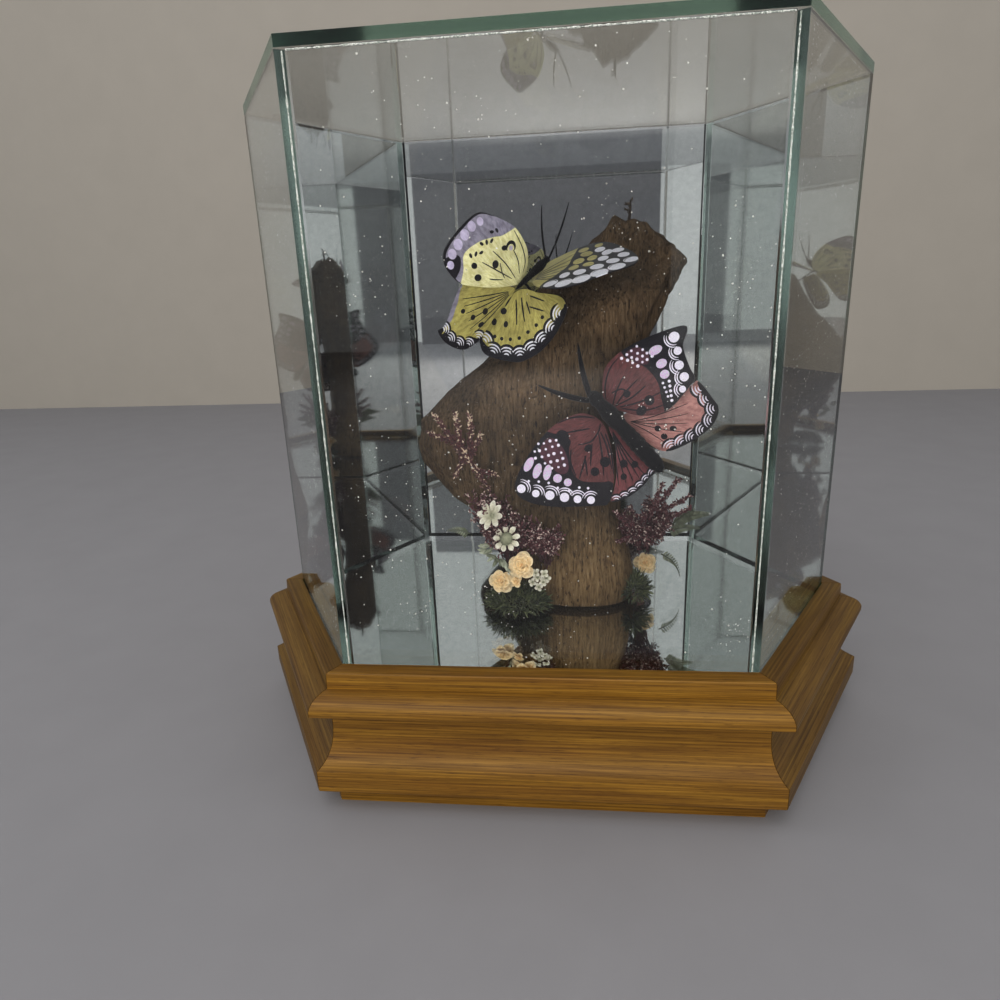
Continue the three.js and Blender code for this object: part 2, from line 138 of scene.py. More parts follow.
def piece(
    name, points, faces, materials, stands_for=(), paints=None, smooth=True, crease=None, marks=None
):
    """A mesh in millimetres that rides with the case; marks are named values for each point."""
    mesh = bpy.data.meshes.new(name)
    mesh.from_pydata([tuple(float(c) * MM for c in p) for p in points], [], faces)
    for material in materials:
        mesh.materials.append(material)
    if paints is not None:
        mesh.polygons.foreach_set("material_index", paints)
    mesh.polygons.foreach_set("use_smooth", [smooth] * len(mesh.polygons))
    if crease is not None:
        mesh.set_sharp_from_angle(angle=math.radians(crease))
    for key, values in (marks or {}).items():
        vector = np.ndim(values) == 2
        made = mesh.attributes.new(key, "FLOAT_VECTOR" if vector else "FLOAT", "POINT")
        made.data.foreach_set("vector" if vector else "value", np.asarray(values, np.float32).ravel())
    mesh.update()
    made = bpy.data.objects.new(name.replace(" ", "_"), mesh)
    bpy.context.collection.objects.link(made)
    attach(made, "root")
    if stands_for:
        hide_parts(*stands_for)
    return made


def stained_wood():
    material, tree = blank_material("stained wood")
    grain = attribute(tree, "grain", "Vector")
    broad = cloudy(tree, stretched(tree, grain, (0.012, 0.22, 1)), 1, 4)
    lines = cloudy(tree, stretched(tree, grain, (0.02, 1.6, 1)), 1, 6, 0.6)
    pores = cloudy(tree, stretched(tree, grain, (0.16, 3.4, 1)), 1, 3)
    stain = [(0.3, colour(96, 67, 18)), (0.5, colour(133, 100, 31)), (0.7, colour(166, 130, 49))]
    patchy = ramp(tree, broad, [(0.3, colour(205, 180, 150)), (0.7, colour(255, 246, 232))])
    tone = blended(tree, 0.8, ramp(tree, lines, stain), patchy, "MULTIPLY")
    dark = ramp(tree, pores, [(0.58, PURE_WHITE), (0.68, colour(120, 88, 60))])
    tone = blended(tree, 0.55, tone, dark, "MULTIPLY")
    # Painted shade: every length but the front one is multiplied by a cool grey, a painted shade with a
    # painted bluish reflection of daylight.
    side_shade_tone = blended(tree, 1.0, tone, colour(214, 220, 246), "MULTIPLY")
    tone = blended(tree, attribute(tree, "painted_side_shade", "Fac"), tone, side_shade_tone)
    lacquer = ramp(tree, lines, [(0.3, (0.62, 0.62, 0.62, 1)), (0.7, (0.5, 0.5, 0.5, 1))])
    tree.links.new(lacquer, tree.nodes["Principled BSDF"].inputs["Roughness"])
    return finished(material, tone, raised(tree, pores, 0.12, 0.0003), coat_weight=0.08, coat_roughness=0.35)


def bend(start, pull, end, steps):
    """Points of a curve from start to end, drawn towards pull."""
    line = []
    for i in range(steps + 1):
        k = i / steps
        line.append(tuple((1 - k) ** 2 * a + 2 * k * (1 - k) * b + k * k * c
                          for a, b, c in zip(start, pull, end)))
    return line


def ring_faces(rings, spokes):
    """The skin between rings of points that each go right round."""
    faces = []
    for low in range(0, (rings - 1) * spokes, spokes):
        for k in range(spokes):
            after = (k + 1) % spokes
            faces.append((low + k, low + after, low + spokes + after, low + spokes + k))
    return faces


moulding_edge = [(-9, 8.6), (12.2, 8.6)]
moulding_edge += bend((12.4, 8.6), (13.1, 8.6), (13.1, 9.4), 4) + [(13.1, 15.4)]
moulding_edge += bend((13.1, 15.9), (5.9, 18.3), (5.9, 29), 14) + [(5.9, 35.4), (12.6, 35.4)]
moulding_edge += bend((12.8, 35.4), (13.4, 35.4), (13.4, 36.1), 3)
moulding_edge += bend((13.4, 37.4), (12.3, 41.2), (6.4, 41.6), 12) + [(6.25, 45.9)]
moulding_edge += bend((6.2, 46.2), (6.2, RIM_TOP), (5.5, RIM_TOP), 4)
moulding_edge += [(0.3, RIM_TOP), (0.3, 38.7), (-9, 38.7)]

side_middle = (FRONT_WIDTH / 2 + HALF_SPAN) / 2
sides = {
    "front": (0, FRONT_WIDTH, (0, -HALF_DEPTH)),
    "front_right": (60, SIDE_WIDTH, (side_middle, -HALF_DEPTH / 2)),
    "back_right": (120, SIDE_WIDTH, (side_middle, HALF_DEPTH / 2)),
    "back": (180, FRONT_WIDTH, (0, HALF_DEPTH)),
    "back_left": (240, SIDE_WIDTH, (-side_middle, HALF_DEPTH / 2)),
    "front_left": (300, SIDE_WIDTH, (-side_middle, -HALF_DEPTH / 2)),
}


def along_side(place, along, outward, up):
    """A point of a side of the case: along it, outward from the glass and up."""
    turn, _, middle = sides[place]
    angle = math.radians(turn)
    x = along * math.cos(angle) + outward * math.sin(angle) + middle[0]
    y = along * math.sin(angle) - outward * math.cos(angle) + middle[1]
    return (x, y, up)


wood = stained_wood()
for number, (place, (_, length, _)) in enumerate(sides.items()):
    points, grain = [], []
    for step in range(MOULDING_STEPS + 1):
        share = 2 * step / MOULDING_STEPS - 1
        girth = 0.0
        for i, (outward, up) in enumerate(moulding_edge):
            if i:
                girth += math.dist(moulding_edge[i - 1], moulding_edge[i])
            along = share * (length / 2 + outward * math.tan(CORNER_TURN) - MITRE_GAP)
            points.append(along_side(place, along, outward, up))
            grain.append((along, girth, 40.0 * number))
    count = len(moulding_edge)
    faces = [list(range(count)), list(range(len(points) - count, len(points)))[::-1]]
    faces += [face[::-1] for face in ring_faces(MOULDING_STEPS + 1, count)]
    # Every length but the front one gets the painted shade and painted bluish reflection.
    marks = {"grain": grain, "painted_side_shade": [float(place != "front")] * len(points)}
    node = f"moulding_{place}"
    piece(f"moulding {place}", points, faces, [wood], [node], crease=35, marks=marks)


def hexagon(overhang):
    """The six corners of the case, moved outward."""
    reach = HALF_DEPTH + overhang
    corner = FRONT_WIDTH / 2 + overhang * math.tan(CORNER_TURN)
    tip = HALF_SPAN + overhang / math.cos(CORNER_TURN)
    return [(-corner, -reach), (corner, -reach), (tip, 0), (corner, reach), (-corner, reach), (-tip, 0)]


board_points = [(x, y, z) for z in (0, BOARD_TOP) for x, y in hexagon(BOARD_OVERHANG)]
board_faces = [(5, 4, 3, 2, 1, 0), (6, 7, 8, 9, 10, 11)] + ring_faces(2, 6)
board_grain = [(x, y + z, 300.0) for x, y, z in board_points]
piece("base board", board_points, board_faces, [wood], ["base_board"],
      smooth=False, marks={"grain": board_grain})


# Mirrors
# The floor and the three back panels are mirrors: three-millimetre float glass, silvered on the far face,
# with a coat of brown-grey protective paint over the silver on the outside.
GLASS = 3.0
GLASS_GREEN = (0.4, 0.68, 0.57, 1)
PANEL_TOP = 216.8
PAINT_LIFT = 0.12
PAINT_INSET = 0.3
PAINT_GAP = 0.4
SQUARE_ON = 0.9


def float_glass(name, roughness, green_depth):
    """Clear glass that turns green where light runs far through it."""
    material, tree = blank_material(name)
    skin = tree.nodes["Principled BSDF"]
    skin.inputs["Base Color"].default_value = PURE_WHITE
    skin.inputs["Transmission Weight"].default_value = 1
    skin.inputs["Roughness"].default_value = roughness
    skin.inputs["IOR"].default_value = 1.46
    tint = add_node(tree, "ShaderNodeVolumeAbsorption", {"Color": GLASS_GREEN, "Density": green_depth})
    tree.links.new(tint.outputs["Volume"], tree.nodes["Material Output"].inputs["Volume"])
    return material


def own_place(tree):
    """Where a point lies on its own piece."""
    return add_node(tree, "ShaderNodeTexCoord").outputs["Object"]


def silvering():
    material, tree = blank_material("mirror silver")
    spots = cloudy(tree, own_place(tree), 420, 3)
    tone = ramp(tree, spots, [(0.3, colour(226, 228, 227)), (0.7, colour(236, 237, 236))])
    return finished(material, tone, metallic=1, roughness=0.015)


def backing_paint():
    material, tree = blank_material("mirror backing paint")
    brushed = cloudy(tree, stretched(tree, own_place(tree), (1, 1, 0.12)), 260, 4)
    tone = ramp(tree, brushed, [(0.3, colour(92, 84, 78)), (0.7, colour(116, 108, 100))])
    return finished(material, tone, raised(tree, brushed, 0.15, 0.0002), roughness=0.6)


mirror_glass = float_glass("mirror glass", 0.0, 5.0)
silver = silvering()
paint = backing_paint()


def coated(node, first, second, takes_second):
    """Two finishes on a panel: the second where a face's direction passes the test."""
    mesh = nodes[node].data
    mesh.materials.clear()
    mesh.materials.append(first)
    mesh.materials.append(second)
    mesh.polygons.foreach_set("material_index", [int(takes_second(face.normal)) for face in mesh.polygons])


def silvered(node, outward):
    """Silver on the face of a panel that looks outward, clear glass on its others."""
    coated(node, mirror_glass, silver, lambda normal: normal.dot(outward) > SQUARE_ON)


def side_facing(place):
    """The direction that a side of the case looks in."""
    turn = math.radians(sides[place][0])
    return Vector((math.sin(turn), -math.cos(turn), 0))


silvered("mirror_floor", Vector((0, 0, -1)))
for place in ("back", "back_left", "back_right"):
    silvered(f"mirror_{place}", side_facing(place))
    reach = sides[place][1] / 2 - PAINT_INSET
    low, high = RIM_TOP + PAINT_GAP, PANEL_TOP - PAINT_GAP
    corners = ((-reach, low), (reach, low), (reach, high), (-reach, high))
    sheet = [along_side(place, along, PAINT_LIFT, up) for along, up in corners]
    piece(f"paint on mirror {place}", sheet, [(0, 1, 2, 3)], [paint], smooth=False)


# Clear panels and top
# Three clear float-glass panels stand in the moulding; the side panels' cut edges face the front, and the
# front panel is glued between them. A loose sheet with green cut edges lies on top of all six.
# Dust has settled on the outside.
BEAD_X = FRONT_WIDTH / 2 - GLASS * math.cos(CORNER_TURN) + 0.5
BEAD_Y = -HALF_DEPTH - 0.1
BEAD_FOOT = 47
SPECKS = 2400
DRIFTS = 16
DUST_LOW = 48
DUST_HIGH = 215
DUST_LIFT = 0.03
dice = random.Random(5)
clear_glass = float_glass("clear glass", 0.0, 13.0)
cut_edge = float_glass("cut glass edge", 0.2, 13.0)


def glazed(node, through):
    """Clear glass on the two broad faces of a sheet, matt glass on its cut edges."""
    coated(node, clear_glass, cut_edge, lambda normal: abs(normal.dot(through)) < SQUARE_ON)


glazed("glass_top", Vector((0, 0, 1)))
for place in ("front", "front_left", "front_right"):
    glazed(f"glass_{place}", side_facing(place))


def glue():
    material, tree = blank_material("glue line")
    # The near-white specks on the pale grey bead are painted glints, standing in for light sparkling in the
    # glue.
    painted_glints = cloudy(tree, own_place(tree), 2600, 2)
    tone = ramp(tree, painted_glints, [(0.4, colour(150, 160, 152)), (0.6, colour(250, 252, 248))])
    return finished(material, tone, raised(tree, painted_glints, 0.8, 0.0004), roughness=0.25)


def steady_frame(way):
    """The given direction and two that are square to it."""
    way = Vector(way).normalized()
    side = way.cross(Vector((0, 0, 1)) if abs(way.z) < 0.9 else Vector((1, 0, 0))).normalized()
    return way, side, way.cross(side)


def tube(path, radii, spokes):
    """A round tapering rod along a path, closed at its ends."""
    points = []
    for i, (spot, radius) in enumerate(zip(path, radii)):
        before, after = path[max(i - 1, 0)], path[min(i + 1, len(path) - 1)]
        _, side, up = steady_frame(Vector(after) - Vector(before))
        for k in range(spokes):
            angle = 2 * math.pi * k / spokes
            points.append(Vector(spot) + side * radius * math.cos(angle) + up * radius * math.sin(angle))
    ends = [tuple(range(spokes))[::-1], tuple(range(len(points) - spokes, len(points)))]
    return points, ring_faces(len(path), spokes) + ends


def glue_bead(name, start, end):
    """An uneven line of squeezed-out glue along a joint of the front panel."""
    steps = int(math.dist(start, end))
    path, radii = [], []
    for step in range(steps + 1):
        x, y, z = (a + (b - a) * (step / steps) for a, b in zip(start, end))
        path.append((x, y, z))
        radii.append(0.17 + 0.12 * noise.noise((x, 3, 0.7 * z)) + 0.12 * dice.random())
    points, faces = tube(path, radii, 6)
    piece(name, points, faces, [glue_with_painted_glints], smooth=False)


# The glue lines carry painted glints.
glue_with_painted_glints = glue()
for name, x in (("glue line left", -BEAD_X), ("glue line right", BEAD_X)):
    glue_bead(name, (x, BEAD_Y, BEAD_FOOT), (x, BEAD_Y, PANEL_TOP - 0.6))
glue_bead("glue line top", (-BEAD_X + 1, BEAD_Y, PANEL_TOP - 0.4), (BEAD_X - 1, BEAD_Y, PANEL_TOP - 0.4))


def dust():
    material, tree = blank_material("dust")
    shades = [(0.3, colour(168, 166, 160)), (0.7, colour(226, 226, 222))]
    return finished(material, ramp(tree, cloudy(tree, own_place(tree), 300, 2), shades), roughness=0.9)


def within(value, low, high):
    return max(low, min(high, value))


dust_grey = dust()
for place in ("front", "front_left", "front_right"):
    points, faces = [], []
    reach = sides[place][1] / 2 - 4
    drifts = []
    for _ in range(DRIFTS):
        drifts.append((dice.uniform(-reach, reach), dice.uniform(60, 212), dice.uniform(3, 11)))
    for number in range(SPECKS):
        along, up = dice.uniform(-reach, reach), dice.uniform(DUST_LOW, DUST_HIGH)
        if number % 2:
            near, high, spread = dice.choice(drifts)
            along = within(dice.gauss(near, spread), -reach, reach)
            up = within(dice.gauss(high, spread), DUST_LOW, DUST_HIGH)
        size = 0.05 + 0.24 * dice.random() ** 6
        first = len(points)
        for k in range(6):
            angle = math.pi / 3 * k
            grow = size * dice.uniform(0.6, 1.3)
            edge_along, edge_up = along + grow * math.cos(angle), up + grow * math.sin(angle)
            points.append(along_side(place, edge_along, DUST_LIFT, edge_up))
        faces.append(tuple(range(first, first + 6)))
    piece(f"dust on {place}", points, faces, [dust_grey], smooth=False)


# Driftwood
# A weathered stump with a rounded bulge to the left and a lobe at the top right. It is one piece of
# grey-brown wood, worn smooth, with fine upright grain, pits and a few long cracks, paler and more golden
# towards the foot. The cracks are painted near black as painted shade.
# Each row of its shape gives a height, then how far it reaches left, right, to the front and to the back.
WOOD_FOOT = 43.3
STUMP_RINGS = 230
STUMP_SPOKES = 200
ROUGH_FROM = 148
ROUGH_RISE = 18
stump_rows = [
    (WOOD_FOOT, -8, 31, -15, 21), (50, -9, 31.5, -15.5, 20), (60, -10, 30, -15, 18),
    (68, -15, 27.5, -14.5, 16), (76, -27, 26, -14.5, 14), (84, -36.4, 26, -14.5, 13),
    (92, -43.2, 26, -14, 12), (97.5, -47.6, 26, -14, 12), (104, -48.7, 26.5, -14, 11),
    (109, -47, 27, -14, 11), (112.5, -47.2, 27, -13.5, 11), (115, -43.6, 27, -13.5, 11),
    (120, -38.6, 28, -13, 11), (128, -29, 30, -12, 11), (136, -19, 33, -11.5, 11),
    (144, -11.5, 37, -10.5, 12), (152, -6.5, 41.5, -8.5, 13), (158, -2, 45.5, -5, 14),
    (164.5, 8, 47.7, 1, 14), (169, 14, 43.4, 2, 13), (173, 17, 39.4, 3, 12),
    (176.4, 19.4, 35.2, 4, 11), (178.6, 22, 31.6, 5, 9),
]


def driftwood_material():
    material, tree = blank_material("driftwood")
    place = own_place(tree)
    grain = cloudy(tree, stretched(tree, place, (1300, 1300, 110)), 1, 6, 0.7)
    flecks = cloudy(tree, stretched(tree, place, (1500, 1500, 380)), 1, 2, 0.4)
    shades = [(0.32, colour(72, 60, 46)), (0.5, colour(96, 81, 61)), (0.68, colour(122, 102, 77))]
    wash = ramp(tree, cloudy(tree, place, 38, 4), shades)
    height = add_node(tree, "ShaderNodeSeparateXYZ")
    tree.links.new(place, height.inputs["Vector"])
    # The colour turns paler and more golden towards the foot.
    foot = {"From Min": 0.086, "From Max": 0.054, "To Min": 0.0, "To Max": 0.6}
    towards_foot = add_node(tree, "ShaderNodeMapRange", foot)
    tree.links.new(height.outputs["Z"], towards_foot.inputs["Value"])
    wash = blended(tree, towards_foot.outputs["Result"], wash, colour(172, 145, 103))
    shades = [(0.32, colour(126, 112, 96)), (0.5, colour(214, 204, 190)), (0.66, PURE_WHITE)]
    tone = blended(tree, 1.0, wash, ramp(tree, grain, shades), "MULTIPLY")
    dark = ramp(tree, flecks, [(0.6, PURE_WHITE), (0.7, colour(92, 70, 52))])
    tone = blended(tree, 0.8, tone, dark, "MULTIPLY")
    # Painted shade: the cracks are painted near black.
    tone = blended(tree, attribute(tree, "painted_crack_shade", "Fac"), tone, colour(40, 30, 22))
    return finished(material, tone, raised(tree, grain, 0.7, 0.0008), roughness=0.85)


def uneven(x, y, level, across, upright):
    """Soft ups and downs; across and upright say how close they lie across the grain and along it."""
    return noise.noise((x * across, y * across, level * upright))


def squared(value):
    """A cosine or sine made fuller, so that the stump is less round."""
    return math.copysign(abs(value) ** 0.8, value)


levels = np.array(stump_rows)
row_share = np.linspace(0, 1, len(levels))
ring_share = np.linspace(0, 1, STUMP_RINGS)
ring_rows = np.stack([np.interp(ring_share, row_share, levels[:, i]) for i in range(5)], 1)
for _ in range(3):
    ring_rows[1:-1, 1:] = (ring_rows[:-2, 1:] + 2 * ring_rows[1:-1, 1:] + ring_rows[2:, 1:]) / 4
stump_points, painted_crack_shades = [], []
for ring, (level, left, right, front, back) in enumerate(ring_rows):
    fade = math.sin(math.pi * (ring + 1) / (STUMP_RINGS + 1)) ** 0.5
    rough = within((level - ROUGH_FROM) / ROUGH_RISE, 0.0, 1.0)
    for spoke in range(STUMP_SPOKES):
        turn = 2 * math.pi * spoke / STUMP_SPOKES
        cosine, sine = math.cos(turn), math.sin(turn)
        furrow = 0.7 * fade * math.sin(7 * turn + 0.05 * level) * math.cos(3 * turn - 0.11 * level)
        x = (left + right) / 2 + ((right - left) / 2 + furrow) * squared(cosine)
        y = (front + back) / 2 + ((back - front) / 2 + furrow) * squared(sine)
        lump = uneven(x, y, level, 0.07, 0.06) * 1.3 + uneven(x, y, level, 0.19, 0.13) * 0.7
        fine = uneven(x, y, level, 0.8, 0.1) * 0.3 + uneven(x, y, level, 1.7, 0.2) * 0.16
        crag = (uneven(x, y, level, 0.3, 0.3) * 1.8 + uneven(x, y, level, 0.8, 0.8) * 0.9) * rough
        crack = abs(noise.noise((x * 0.16 + 9, y * 0.16, level * 0.022)))
        depth = 0.5 + 0.5 * noise.noise((x * 0.1, y * 0.1, level * 0.05 + 4))
        split = max(0.0, 1 - crack / 0.035) * depth
        push = (lump + fine + crag) * fade - 1.3 * split * fade
        notch = noise.noise((x * 0.28 + 3, y * 0.2, 7)) * 2.2 * rough**3
        stump_points.append((x + push * cosine, y + push * sine, level + notch))
        # The painted shade in a crack grows with how deep the crack is.
        painted_crack_shades.append(min(1.0, split * 0.9))
low_cap = len(stump_points)
last_ring = low_cap - STUMP_SPOKES
stump_points += [(12, 2, WOOD_FOOT), (27, 6.7, 178.4)]
painted_crack_shades += [0, 0]
stump_faces = ring_faces(STUMP_RINGS, STUMP_SPOKES)
for spoke in range(STUMP_SPOKES):
    after = (spoke + 1) % STUMP_SPOKES
    stump_faces += [(low_cap, after, spoke), (low_cap + 1, last_ring + spoke, last_ring + after)]
bark = driftwood_material()
piece("driftwood stump", stump_points, stump_faces, [bark], ["driftwood"],
      marks={"painted_crack_shade": painted_crack_shades})


# Butterfly wings
# Each wing is a thin cupped sheet, printed on both sides and dusted with glitter, glued under the body.
# The print is laid out on the flat sheet: root at the origin, tip along the first direction.
GROUND, BLACK, WHITE, PEARL, PLUM = range(5)
WING_THICKNESS = 0.36
WING_CUP = 1.2
WING_MESH = 1.3
EDGE_STEPS = 6
DISC_CORNERS = 18
CRESCENT_STEPS = 12


def smooth_loop(points, steps=5):
    """A closed curve through the points."""
    spots = [np.array(p, float) for p in points]
    count = len(spots)
    loop = []
    for i in range(count):
        a, b, c, d = (spots[(i + k) % count] for k in (-1, 0, 1, 2))
        for step in range(steps):
            k = step / steps
            square, cube = 2 * a - 5 * b + 4 * c - d, 3 * b - a - 3 * c + d
            loop.append(0.5 * (2 * b + (c - a) * k + square * k * k + cube * k**3))
    return [(float(p[0]), float(p[1])) for p in loop]


def disc(centre, radius, squash=1.0, turn=0.0):
    tilt = math.radians(turn)
    shape = []
    for i in range(DISC_CORNERS):
        angle = 2 * math.pi * i / DISC_CORNERS
        s, t = radius * math.cos(angle), radius * squash * math.sin(angle)
        along = centre[0] + s * math.cos(tilt) - t * math.sin(tilt)
        across = centre[1] + s * math.sin(tilt) + t * math.cos(tilt)
        shape.append((along, across))
    return shape


def streak(points, width):
    """A vein or dash, pointed at both ends."""
    loop = smooth_loop(list(points) + list(points)[-2:0:-1])
    spine = loop[: (len(points) - 1) * 5 + 1]
    near, far = [], []
    for i, (s, t) in enumerate(spine):
        before, after = spine[max(i - 1, 0)], spine[min(i + 1, len(spine) - 1)]
        way = Vector((after[0] - before[0], after[1] - before[1])).normalized()
        swell = width / 2 * (0.25 + 0.75 * math.sin(math.pi * min(i / (len(spine) - 1) * 0.85 + 0.1, 1)))
        near.append((s - way.y * swell, t + way.x * swell))
        far.append((s + way.y * swell, t - way.x * swell))
    return near + far[::-1]


def crescent(centre, radius, width, facing, spread=62):
    """Part of a ring on the side of the centre that looks along facing, thin at its ends."""
    outer, inner = [], []
    for i in range(CRESCENT_STEPS + 1):
        share = i / CRESCENT_STEPS * 2 - 1
        angle = facing + math.radians(spread) * share
        half = width / 2 * (1 - 0.75 * share * share)
        for reach, side in ((radius + half, outer), (radius - half, inner)):
            side.append((centre[0] + reach * math.cos(angle), centre[1] + reach * math.sin(angle)))
    return outer + inner[::-1]


def towards(start, end):
    return math.atan2(end[1] - start[1], end[0] - start[0])


def edge_run(outline, first, last):
    """Part of a wing's smooth edge, and the middle of the wing."""
    loop = smooth_loop(outline, EDGE_STEPS)
    steps = range(first * EDGE_STEPS, last * EDGE_STEPS + 1)
    return [np.array(loop[i % len(loop)]) for i in steps], np.mean(np.array(outline), 0)


def margin_band(outline, first, last, width):
    """The strip between part of the wing's edge and the same edge moved inward."""
    run, middle = edge_run(outline, first, last)
    inset = []
    for i, spot in enumerate(run):
        before, after = run[max(i - 1, 0)], run[min(i + 1, len(run) - 1)]
        across = np.array([-(after[1] - before[1]), after[0] - before[0]])
        across = across / (np.linalg.norm(across) + 1e-9)
        if np.dot(across, middle - spot) < 0:
            across = -across
        fade = min(1.0, 3.0 * min(i, len(run) - 1 - i) / len(run) + 0.15)
        inset.append(tuple(spot + across * width * fade))
    outside = [tuple(spot + (spot - middle) * 0.06) for spot in run]
    return outside + inset[::-1]


def along_edge(outline, first, last, count, inset):
    """Evenly spaced places beside part of a wing's edge, moved inward."""
    run, middle = edge_run(outline, first, last)
    walked = np.cumsum([0] + [np.linalg.norm(b - a) for a, b in zip(run, run[1:])])
    spots = []
    for k in range(count):
        share = walked[-1] * (k + 0.5) / count
        at = np.array([np.interp(share, walked, [spot[axis] for spot in run]) for axis in (0, 1)])
        spots.append(tuple(at + (middle - at) / np.linalg.norm(middle - at) * inset))
    return spots


def wing_paint(name, ground, shadow, sheen=0.25):
    """Printed cloth with fine streaks that fan out from the root."""
    material, tree = blank_material(name)
    fan = attribute(tree, "fan", "Vector")
    fibres = cloudy(tree, stretched(tree, fan, (0.4, 26, 1)), 1, 5, 0.6)
    clouds = cloudy(tree, stretched(tree, fan, (0.12, 3, 1)), 1, 3)
    shade = ramp(tree, clouds, [(0.3, colour(175, 170, 165)), (0.65, PURE_WHITE)])
    tone = blended(tree, 0.55, ramp(tree, fibres, [(0.3, shadow), (0.6, ground)]), shade, "MULTIPLY")
    return finished(material, tone, raised(tree, fibres, 0.25, 0.0002), roughness=0.55, sheen_weight=sheen)


def glitter_paint(name, *shades):
    """Flakes of pearly glitter, each with its own colour and tilt."""
    material, tree = blank_material(name)
    flakes = add_node(tree, "ShaderNodeTexVoronoi", {"Scale": 5.5})
    tree.links.new(attribute(tree, "flat", "Vector"), flakes.inputs["Vector"])
    split = add_node(tree, "ShaderNodeSeparateColor")
    tree.links.new(flakes.outputs["Color"], split.inputs[0])
    tone = ramp(tree, split.outputs[0], [(i / (len(shades) - 1), shade) for i, shade in enumerate(shades)])
    tilt = raised(tree, split.outputs[1], 0.35, 0.0002)
    return finished(material, tone, tilt, roughness=0.32, metallic=0.15)


def turns_left(loop):
    """Whether a closed outline runs anticlockwise."""
    return sum(a[0] * b[1] - b[0] * a[1] for a, b in zip(loop, loop[1:] + loop[:1])) > 0


class Wing:
    """The flat sheet of one wing, its print, and where it stands in the case."""

    def __init__(self, root, tip, corner, outline):
        self.root = np.array(root, float)
        along = np.array(tip, float) - self.root
        self.length = np.linalg.norm(along)
        self.along = along / self.length
        across = np.array(corner, float) - self.root
        across = across - self.along * across.dot(self.along)
        self.across = across / np.linalg.norm(across)
        facing = np.cross(self.along, self.across)
        self.facing = facing if facing[1] < 0 else -facing
        self.turned = facing[1] >= 0
        self.outline = outline
        self.print = []

    def mark(self, ink, *shapes):
        self.print += [(ink, shape) for shape in shapes]

    def dots(self, ink, spots, squash=1.0, turn=0.0):
        """Discs, each given by its middle and its radius."""
        self.mark(ink, *[disc((s, t), radius, squash, turn) for s, t, radius in spots])

    def scallops(self, first, last, count, gaps, width, heart, inset):
        """Nested white arcs in a row along part of a black edge."""
        for centre in along_edge(self.outline, first, last, count, inset):
            facing = towards(centre, heart)
            self.mark(BLACK, crescent(centre, gaps[-1] + width * 1.3, width * 1.6, facing, 52))
            for gap in gaps:
                self.mark(WHITE, crescent(centre, gap, width, facing, 50))

    def ringed(self, spots, heart, rings):
        """White discs, each with white arcs on the side that looks to the heart of the wing."""
        for s, t, radius in spots:
            self.mark(WHITE, disc((s, t), radius))
            for gap in rings:
                self.mark(WHITE, crescent((s, t), radius + gap, 0.42, towards((s, t), heart)))

    def at(self, s, t, lift):
        cup = WING_CUP * math.sin(math.pi * min(max(s / self.length, 0), 1))
        ripple = 0.12 * math.sin(9 * math.atan2(t, s + 4)) * min(1.0, math.hypot(s, t) / 20)
        return self.root + self.along * s + self.across * t + self.facing * (cup + ripple + lift)

    def build(self, insect, part, inks):
        """Cut the print into the sheet, give the sheet its thickness and stand it in the case."""
        rim = smooth_loop(self.outline, 9)
        spots = [Vector(p) for p in rim]
        loops = [list(range(len(rim)))]
        for _, shape in self.print:
            loops.append(list(range(len(spots), len(spots) + len(shape))))
            spots += [Vector(p) for p in shape]
        loops = [loop if turns_left([spots[i] for i in loop]) else loop[::-1] for loop in loops]
        low, high = np.min(rim, 0), np.max(rim, 0)
        for s in np.arange(low[0], high[0], WING_MESH):
            spots += [Vector((s + 0.31, t + 0.17)) for t in np.arange(low[1], high[1], WING_MESH)]
        flat, _, triangles, _, _, owners = delaunay_2d_cdt(spots, [], loops, 1, 1e-5)
        kept, shown = [], []
        for triangle, owner in zip(triangles, owners):
            if 0 not in owner:
                continue
            top = max(owner)
            kept.append(list(triangle) if not self.turned else list(triangle)[::-1])
            shown.append(self.print[top - 1][0] if top else GROUND)
        used = sorted({i for triangle in kept for i in triangle})
        order = {old: new for new, old in enumerate(used)}
        count = len(used)
        points = [self.at(*flat[i], WING_THICKNESS / 2) for i in used]
        points += [self.at(*flat[i], -WING_THICKNESS / 2) for i in used]
        upper = [[order[i] for i in triangle] for triangle in kept]
        lower = [[count + i for i in reversed(triangle)] for triangle in upper]
        ends = {}
        for ink, triangle in zip(shown, upper):
            for a, b in zip(triangle, triangle[1:] + triangle[:1]):
                if (b, a) in ends:
                    del ends[(b, a)]
                else:
                    ends[(a, b)] = ink
        rim_faces = [[b, a, count + a, count + b] for a, b in ends]
        paints = shown + shown + list(ends.values())
        flat_marks = [(flat[i][0], flat[i][1], 0.0) for i in used] * 2
        fan_marks = [(math.hypot(s + 5, t), math.atan2(t, s + 5), 0.0) for s, t, _ in flat_marks]
        node = f"{insect}_butterfly_{part}".replace(" ", "_")
        piece(f"{insect} {part}", points, upper + lower + rim_faces, inks, [node],
              paints=paints, crease=50, marks={"flat": flat_marks, "fan": fan_marks})


def scattered(rows, start, step_row, step_dot, count, radius):
    """Rows of small dots, each a little out of line."""
    dots = []
    for row in range(rows):
        for i in range(count):
            s = start[0] + step_row[0] * row + step_dot[0] * i + dice.uniform(-0.25, 0.25)
            t = start[1] + step_row[1] * row + step_dot[1] * i + dice.uniform(-0.25, 0.25)
            dots.append(disc((s, t), radius * dice.uniform(0.8, 1.15)))
    return dots


